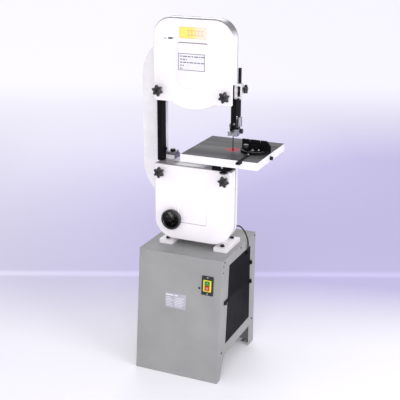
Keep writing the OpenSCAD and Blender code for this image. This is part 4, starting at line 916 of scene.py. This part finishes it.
def makeUpperGuide():
    low, high = limits("upper_guide")
    post = limits("guide_post")
    axis = ((post[0].x + post[1].x)/2, (post[0].y + post[1].y)/2)
    jawTop = (low.z + 31.2)*mm

    def coatOf(face):
        around = math.hypot(face.center.x/mm - axis[0], face.center.y/mm - axis[1])
        steel = face.center.z < (low.z + 21.9)*mm or (face.center.y < -9*mm and face.center.z < jawTop) \
            or (around < 15 and face.center.z > (high.z - 40)*mm and abs(face.normal.z) < 0.8)
        return 1 if steel else 0
    roundedCopy("upper_guide", 0.5, finish["blackOxide"], "upper_guide_block", faceRule=coatOf,
                extra=(finish["turnedSteel"],))
    lockLow, lockHigh = limits("post_lock_knob")
    bossMiddle = (lockLow.z + lockHigh.z)/2 - 10
    # bright collars where the post leaves its boss, and on the carrier
    rings = []
    for z, r in ((bossMiddle + 34.2, 12), (bossMiddle - 38.0, 12)):
        rings.append(moved(turned([(0, 8.4), (0, r - 1), (0.8, r), (3, r), (3.8, r - 1), (3.8, 8.4)], 40),
                           Matrix.Translation((axis[0], axis[1], z))))
    makePiece("post_collars", together(*rings), rootBody, finish["turnedSteel"])
    carrier = moved(turned([(0, 8.3), (0, 12.6), (0.8, 13.6), (2.4, 13.6), (3, 12.6), (3, 8.3)], 40),
                    Matrix.Translation((axis[0], axis[1], high.z + 0.05)))
    front = low.y
    screws = [socketScrew((low.x + 34, front - 1.4, low.z + 59), (0, -1, 0), 5, 3.4),
              socketScrew((low.x + 8, front + 9.4, low.z + 11), (0, -1, 0), 3.6, 2.4),
              socketScrew((low.x + 40, front + 9.4, low.z + 11), (0, -1, 0), 3.6, 2.4)]
    makePiece("upper_guide_fittings", together(carrier, *screws), "guide_post", finish["turnedSteel"])


makeUpperGuide()

# blade: a toothed band round both wheels
print("blade")
bladeSet = {"pitch": 4.2, "gullet": 2.1, "set": 0.28}


def makeBlade():
    low, high = limits("blade")
    radius = (high.x - low.x)/2 - 0.3
    middle = (low.x + high.x)/2
    centres = (low.z + (high.x - low.x)/2, high.z - (high.x - low.x)/2)
    straight = centres[1] - centres[0]
    whole = 2*straight + 2*math.pi*radius
    count = 2*int(whole/bladeSet["pitch"])
    rings = []
    for k in range(count):
        s = whole*k/count
        if s < straight:
            x, z, nx, nz = middle + radius, centres[0] + s, 1, 0
        elif s < straight + math.pi*radius:
            a = (s - straight)/radius
            nx, nz = math.cos(a), math.sin(a)
            x, z = middle + radius*nx, centres[1] + radius*nz
        elif s < 2*straight + math.pi*radius:
            x, z, nx, nz = middle - radius, centres[1] - (s - straight - math.pi*radius), -1, 0
        else:
            a = math.pi + (s - 2*straight - math.pi*radius)/radius
            nx, nz = math.cos(a), math.sin(a)
            x, z = middle + radius*nx, centres[0] + radius*nz
        tip = k % 2 == 0
        front = low.y if tip else low.y + bladeSet["gullet"]
        lean = bladeSet["set"]*(1 if k % 4 == 0 else -1)*0.5 if tip else 0
        t = 0.3 - bladeSet["set"]*0.5
        root = low.y + bladeSet["gullet"] + 0.6
        rings.append([(x + nx*(lean + t), front, z + nz*(lean + t)), (x + nx*0.3, root, z + nz*0.3),
                      (x + nx*0.3, high.y, z + nz*0.3), (x - nx*0.3, high.y, z - nz*0.3),
                      (x - nx*0.3, root, z - nz*0.3), (x + nx*(lean - t), front, z + nz*(lean - t))])
    makePiece("toothed_band", loft(rings, closed=True), bodyOf["blade"], finish["bladeSteel"],
              ("blade",), smooth=30)


makeBlade()

# mitre gauge head: quadrant with a graduated edge
mitreSet = {"step": 10, "reach": 60}


def makeMitre():
    low, high = limits("mitre_head")
    roundedCopy("mitre_head", 0.6, finish["blackSheetPaint"], "mitre_head_casting")
    middle = (low.x + high.x)/2
    plateTop = limits("table")[1].z + 0.3 + 9
    ticks = []
    for degrees in range(-mitreSet["reach"], mitreSet["reach"] + 1, 5):
        long = 7 if degrees % mitreSet["step"] == 0 else 4
        turn = Matrix.Translation((middle, 0, 0)) @ Matrix.Rotation(math.radians(degrees), 4, "Z")
        ticks.append(moved(block((-0.35, -64, plateTop - 0.05), (0.35, -64 + long, plateTop + 0.12), 0.03), turn))
    makePiece("mitre_graduation", together(*ticks), "mitre_head", finish["whiteInk"])
    pivot = moved(turned([(0, 9), (0, 9.6), (1.6, 9.6), (2.2, 8.6), (2.2, 5.2), (5.4, 5.2), (6, 4.4)], 32),
                  Matrix.Translation((middle, -30, plateTop)))
    screws = [socketScrew((middle + 24, -16, plateTop), (0, 0, 1), 4.4, 4)]
    makePiece("mitre_pivot_washer", together(pivot, *screws), "mitre_head", finish["turnedSteel"])
    barHigh = limits("mitre_bar")[1]
    # bright pointer clamped on the bar, over its black casting
    y0 = -92
    pointer = block((middle - 6, y0, barHigh.z - 5.0), (middle + 6, y0 + 22, barHigh.z - 0.4), 0.8)
    screw = socketScrew((middle, y0 + 8, barHigh.z - 0.6), (0, 0, 1), 3.6, 2.6)
    makePiece("mitre_pointer", together(pointer, screw), "mitre_bar", finish["turnedSteel"])


makeMitre()

# bolts, washers and screws
print("fasteners")


def hexBolt(centre, across, height, washer, direction=(0, 0, 1)):
    # a chamfered hexagon head on a washer
    plate = turned([(0, washer*0.45), (0, washer - 0.4), (0.5, washer), (1.8, washer), (2.1, washer - 0.4)], 32)
    rings = []
    for z, size in ((2.0, 1.0), (2.0 + height*0.8, 1.0), (2.0 + height, 0.90), (2.0 + height, 0.2)):
        rings.append([(across/math.sqrt(3)*size*math.cos(math.radians(60*k)),
                       across/math.sqrt(3)*size*math.sin(math.radians(60*k)), z) for k in range(6)])
    return moved(together(plate, loft(rings)), toAxis(centre, direction))


def makeFasteners():
    low, high = limits("frame_bolts")
    heads, shanks = [], []
    footTop = limits("stand_top")[1].z + 20
    middle = (limits("upper_cover")[0].x + limits("upper_cover")[1].x)/2 + 6
    for side in (-142, 142):
        for y in (-58, 66):
            heads.append(hexBolt((middle + side, y, footTop), 17, 7, 11))
            shanks.append(moved(turned([(0, 4.6), (1, 5), (38, 5), (39.5, 4.2)], 24),
                                Matrix.Translation((middle + side, y, footTop - 30))))
            heads.append(hexBolt((middle + side, y, footTop - 22), 17, 6, 11, (0, 0, -1)))
    jointX = middle - 6 - 150.5
    heads.append(hexBolt((jointX, 32, high.z - 13), 24, 11, 17))
    shanks.append(moved(turned([(0, 7.4), (1, 8), (78, 8)], 24), Matrix.Translation((jointX, 32, high.z - 89))))
    makePiece("frame_bolt_heads", together(*heads, *shanks), rootBody, finish["blackOxide"],
              ("frame_bolts",), smooth=35)
    # two dark screws hold the cover's hook on the right of the casing
    caseHigh = limits("upper_cover")[1]
    screws = [slottedScrew((caseHigh.x - 2.6, -4, z), (1, 0, 0), 4.2, 2.2) for z in (1357, 1385)]
    makePiece("case_screws", together(*screws), rootBody, finish["blackOxide"])


makeFasteners()

# switch, its buttons and the plates on the leaning front
frontSet = {"labelMiddle": (-17.5, 374), "labelSize": (109, 74), "screwAt": (103, 460)}
frontLow, frontHigh = limits("stand_front")
lean = math.atan((frontHigh.y - frontLow.y - 2)/(frontHigh.z - frontLow.z))


def onFront(x, z):
    # x to the right and z up the panel, y into it, from a place on its outer face
    y = frontLow.y + z*math.tan(lean)
    return Matrix.Translation((x, y, z)) @ Matrix.Rotation(-lean, 4, "X")


def makeFrontPanel():
    low, high = limits("switch_plate")
    x = (low.x + high.x)/2
    z = (low.z + high.z)/2 + 0.2
    place = onFront(x, z)
    w, h = 59, 94
    loop = roundedLoop(-w/2, -h/2, w/2, h/2, 4, 4, 6)
    plate = loft([atDepth(loop, 0), atDepth(loop, -2.2), atDepth(insetLoop(loop, 0.8), -3)])
    box = block((-19, -1, -35), (19, 40, 35), 1)
    makePiece("switch_face", moved(together(plate, box), place), rootBody, finish["phenolic"],
              ("switch_plate",))
    # the yellow surround: a raised frame round both caps
    outer = roundedLoop(-20, -28, 20, 28, 3, 3, 5)
    inner = roundedLoop(-12.6, -23.6, 12.6, 23.6, 1.5, 1.5, 5)
    rings = [atDepth(outer, -3), atDepth(outer, -6.2), atDepth(insetLoop(outer, 1.2), -7.4),
             atDepth(insetLoop(inner, -0.6), -7.4), atDepth(inner, -6.6), atDepth(inner, -2)]
    makePiece("switch_surround", moved(loft(rings, closed=True), place), rootBody, finish["yellowGuard"],
              smooth=30)
    screws = [slottedScrew((0, -3, s), (0, -1, 0), 4.2, 2.2) for s in (-39.5, 39.5)]
    makePiece("switch_screws", moved(together(*screws), place), rootBody, finish["turnedSteel"])
    slots = [block((-3.4, -5.32, s - 0.5), (3.4, -5.0, s + 0.5), 0.1) for s in (-39.5, 39.5)]
    makePiece("switch_screw_slots", moved(together(*slots), place), rootBody, finish["blackOxide"])
    for node, offset, coat in (("green_button", 12, "greenCap"), ("red_button", -12, "redCap")):
        loop = roundedLoop(-12, offset - 11, 12, offset + 11, 2.5, 2.5, 5)
        cap = [atDepth(loop, 3), atDepth(loop, -6.4), atDepth(insetLoop(loop, 0.7), -7.5),
               atDepth(insetLoop(loop, 2.0), -8.0), atDepth(insetLoop(loop, 5.0), -7.4)]
        makePiece(node + "_cap", moved(loft(cap), place), node, finish[coat], (node,), smooth=50)
        # plain raised mark: a bar on the upper cap and a ring on the lower one
        if offset > 0:
            mark = block((-0.9, -7.9, offset - 4), (0.9, -7.2, offset + 4), 0.2)
        else:
            ring = [(math.cos(2*math.pi*k/28), math.sin(2*math.pi*k/28)) for k in range(28)]
            loops = [[(a*r, y, b*r + offset) for a, b in ring]
                     for r, y in ((4.4, -7.2), (4.4, -7.9), (3.1, -7.9), (3.1, -7.2))]
            mark = loft(loops, closed=True)
        makePiece(node + "_mark", moved(mark, place), node, finish["whiteInk"])
    # the small black screw beside the switch
    place = onFront(*frontSet["screwAt"])
    makePiece("front_screw", moved(slottedScrew((0, 0, 0), (0, -1, 0), 5, 2.6), place), rootBody,
              finish["blackOxide"])
    # plain data label with generic rows
    place = onFront(*frontSet["labelMiddle"])
    w, h = frontSet["labelSize"]
    loop = roundedLoop(-w/2, -h/2, w/2, h/2, 1.5, 1.5, 4)
    film = loft([atDepth(loop, 0), atDepth(loop, -0.35), atDepth(insetLoop(loop, 0.15), -0.45)])
    makePiece("front_label", moved(film, place), rootBody, finish["platedLabel"])
    rows = [(-w/2 + 4, -w/2 + 44, h/2 - 13, h/2 - 7), (-w/2 + 50, -w/2 + 66, h/2 - 13, h/2 - 7)]
    for row in range(6):
        z = h/2 - 22 - row*8
        rows += [(-w/2 + 6, -w/2 + 30 + 6*(row % 3), z - 1.2, z + 1.2),
                 (-w/2 + 50, w/2 - 12 - 8*(row % 2), z - 1.2, z + 1.2)]
    makePiece("front_label_rows", moved(stripes(rows, -0.4), place), rootBody, finish["plateFilm"])


makeFrontPanel()


# folded lip and screws of the stand
def makeStandDetails():
    low, high = limits("stand_top")
    front = low.y
    # the top's front edge is folded down over the panel, with a shadow gap under it
    lip = block((low.x + 0.3, front - 2.2, high.z - 16), (high.x - 0.3, front + 0.6, high.z - 0.2), 0.8)
    side = [block((x - 1.2, front + 6, high.z - 20), (x + 1.2, high.y - 6, high.z - 0.4), 0.5)
            for x in (low.x - 0.6, high.x + 0.6)]
    makePiece("stand_top_lip", together(lip, *side), rootBody, finish["powderCoat"])
    screws = []
    for x, direction in ((low.x - 1.6, (-1, 0, 0)), (high.x + 1.6, (1, 0, 0))):
        for y in (front + 20, 40, high.y - 20):
            screws.append(slottedScrew((x, y, high.z - 12), direction, 4.6, 2.4))
    # screws near the front corner that hold the front panel's flange
    for z in (575, 545):
        screws.append(slottedScrew((high.x + 0.1, frontLow.y + z*math.tan(lean) + 14, z), (1, 0, 0), 3.6, 2))
    makePiece("stand_lip_screws", together(*screws), rootBody, finish["blackOxide"])


makeStandDetails()


# floor and light
print("floor and light")
studio = {"near": "F6F5F9", "far": "C5BFE1", "sky": (0.90, 0.89, 0.97, 1), "skyStrength": 0.62,
          "nearGlow": 0.10, "farGlow": 0.52, "streakLine": 1.01,
          "lamps": {"front": ((1.4, -4.4, 2.5), (0, 0, 0.9), (3.0, 2.4), 88),
                    "right": ((3.8, -1.2, 1.9), (0, 0, 0.8), (2.2, 2.2), 71),
                    "left": ((-3.8, -2.6, 2.2), (0, 0, 0.9), (2.0, 2.0), 14),
                    "rear": ((-1.6, 3.8, 3.2), (0, 0, 0.8), (2.6, 2.0), 45)}}


def makeFloorPaper():
    # seamless paper with painted shade: near white in front, deepening to lavender behind the machine where the
    # light falls off, pale again far off
    material, tree, surface, place = newFinish("SeamlessStudioPaper")
    turn = addNode(tree, "ShaderNodeMapping", None, {
        "Vector": place, "Rotation": (0, 0, -math.radians(cameraSet["yaw"]))})
    split = addNode(tree, "ShaderNodeSeparateXYZ", None, {0: turn.outputs[0]})
    deepen = addNode(tree, "ShaderNodeMapRange", {"interpolation_type": "SMOOTHSTEP"}, {
        "Value": split.outputs[1], "From Min": 0.0, "From Max": 1.2})
    fade = addNode(tree, "ShaderNodeMapRange", {"interpolation_type": "SMOOTHSTEP"}, {
        "Value": split.outputs[1], "From Min": 1.6, "From Max": 7.0, "To Min": 1.0, "To Max": 0.1})
    share = addNode(tree, "ShaderNodeMath", {"operation": "MULTIPLY"}, {0: deepen.outputs[0], 1: fade.outputs[0]})
    # a little deeper on the right, where less light falls
    wander = addNode(tree, "ShaderNodeMapRange", None, {"Value": split.outputs[0], "From Min": -1.5, "From Max": 1.5,
                     "To Min": 0.55, "To Max": 1.4})
    share = addNode(tree, "ShaderNodeMath", {"operation": "MULTIPLY", "use_clamp": True}, {
        0: share.outputs[0], 1: wander.outputs[0]})
    colour = addNode(tree, "ShaderNodeMix", {"data_type": "RGBA"}, {0: share.outputs[0],
                     6: linearFromHex(studio["near"]), 7: linearFromHex(studio["far"])})
    tree.links.new(colour.outputs[2], surface.inputs["Base Color"])
    # painted light: the paper glows, faintly near the machine and more far behind, standing in for lamps of its own
    glow = addNode(tree, "ShaderNodeMapRange", {"interpolation_type": "SMOOTHSTEP"}, {
        "Value": split.outputs[1], "From Min": 1.2, "From Max": 8.0, "To Min": studio["nearGlow"],
        "To Max": studio["farGlow"]})
    # painted highlight: a thin glowing streak behind the machine, where a fold in the paper would catch the light
    off = addNode(tree, "ShaderNodeMath", {"operation": "ABSOLUTE"}, {0: addNode(
        tree, "ShaderNodeMath", {"operation": "SUBTRACT"}, {0: split.outputs[1], 1: studio["streakLine"]}).outputs[0]})
    streak = addNode(tree, "ShaderNodeMapRange", {"interpolation_type": "SMOOTHSTEP"}, {
        "Value": off.outputs[0], "From Min": 0.0, "From Max": 0.07, "To Min": 0.2, "To Max": 0.0})
    glow = addNode(tree, "ShaderNodeMath", {"operation": "ADD"}, {0: glow.outputs[0], 1: streak.outputs[0]})
    tree.links.new(colour.outputs[2], surface.inputs["Emission Color"])
    tree.links.new(glow.outputs[0], surface.inputs["Emission Strength"])
    surface.inputs["Roughness"].default_value = 0.8
    surface.inputs["Specular IOR Level"].default_value = 0.1
    return material


def makeStudio():
    mesh = bpy.data.meshes.new("floor")
    mesh.from_pydata([(-30, -30, 0), (30, -30, 0), (30, 30, 0), (-30, 30, 0)], [], [(0, 1, 2, 3)])
    mesh.materials.append(makeFloorPaper())
    floor = bpy.data.objects.new("floor", mesh)
    bpy.context.scene.collection.objects.link(floor)
    world = bpy.data.worlds.new("studio")
    world.use_nodes = True
    world.node_tree.nodes["Background"].inputs[0].default_value = studio["sky"]
    world.node_tree.nodes["Background"].inputs[1].default_value = studio["skyStrength"]
    bpy.context.scene.world = world
    bpy.context.scene.view_settings.view_transform = "Standard"
    for name, (place, aim, size, power) in studio["lamps"].items():
        data = bpy.data.lights.new(name, "AREA")
        data.shape, data.energy = "RECTANGLE", power
        data.size, data.size_y = size
        lamp = bpy.data.objects.new(name, data)
        bpy.context.scene.collection.objects.link(lamp)
        lamp.location = place
        lamp.rotation_euler = (Vector(aim) - Vector(place)).to_track_quat("-Z", "Y").to_euler()


makeStudio()
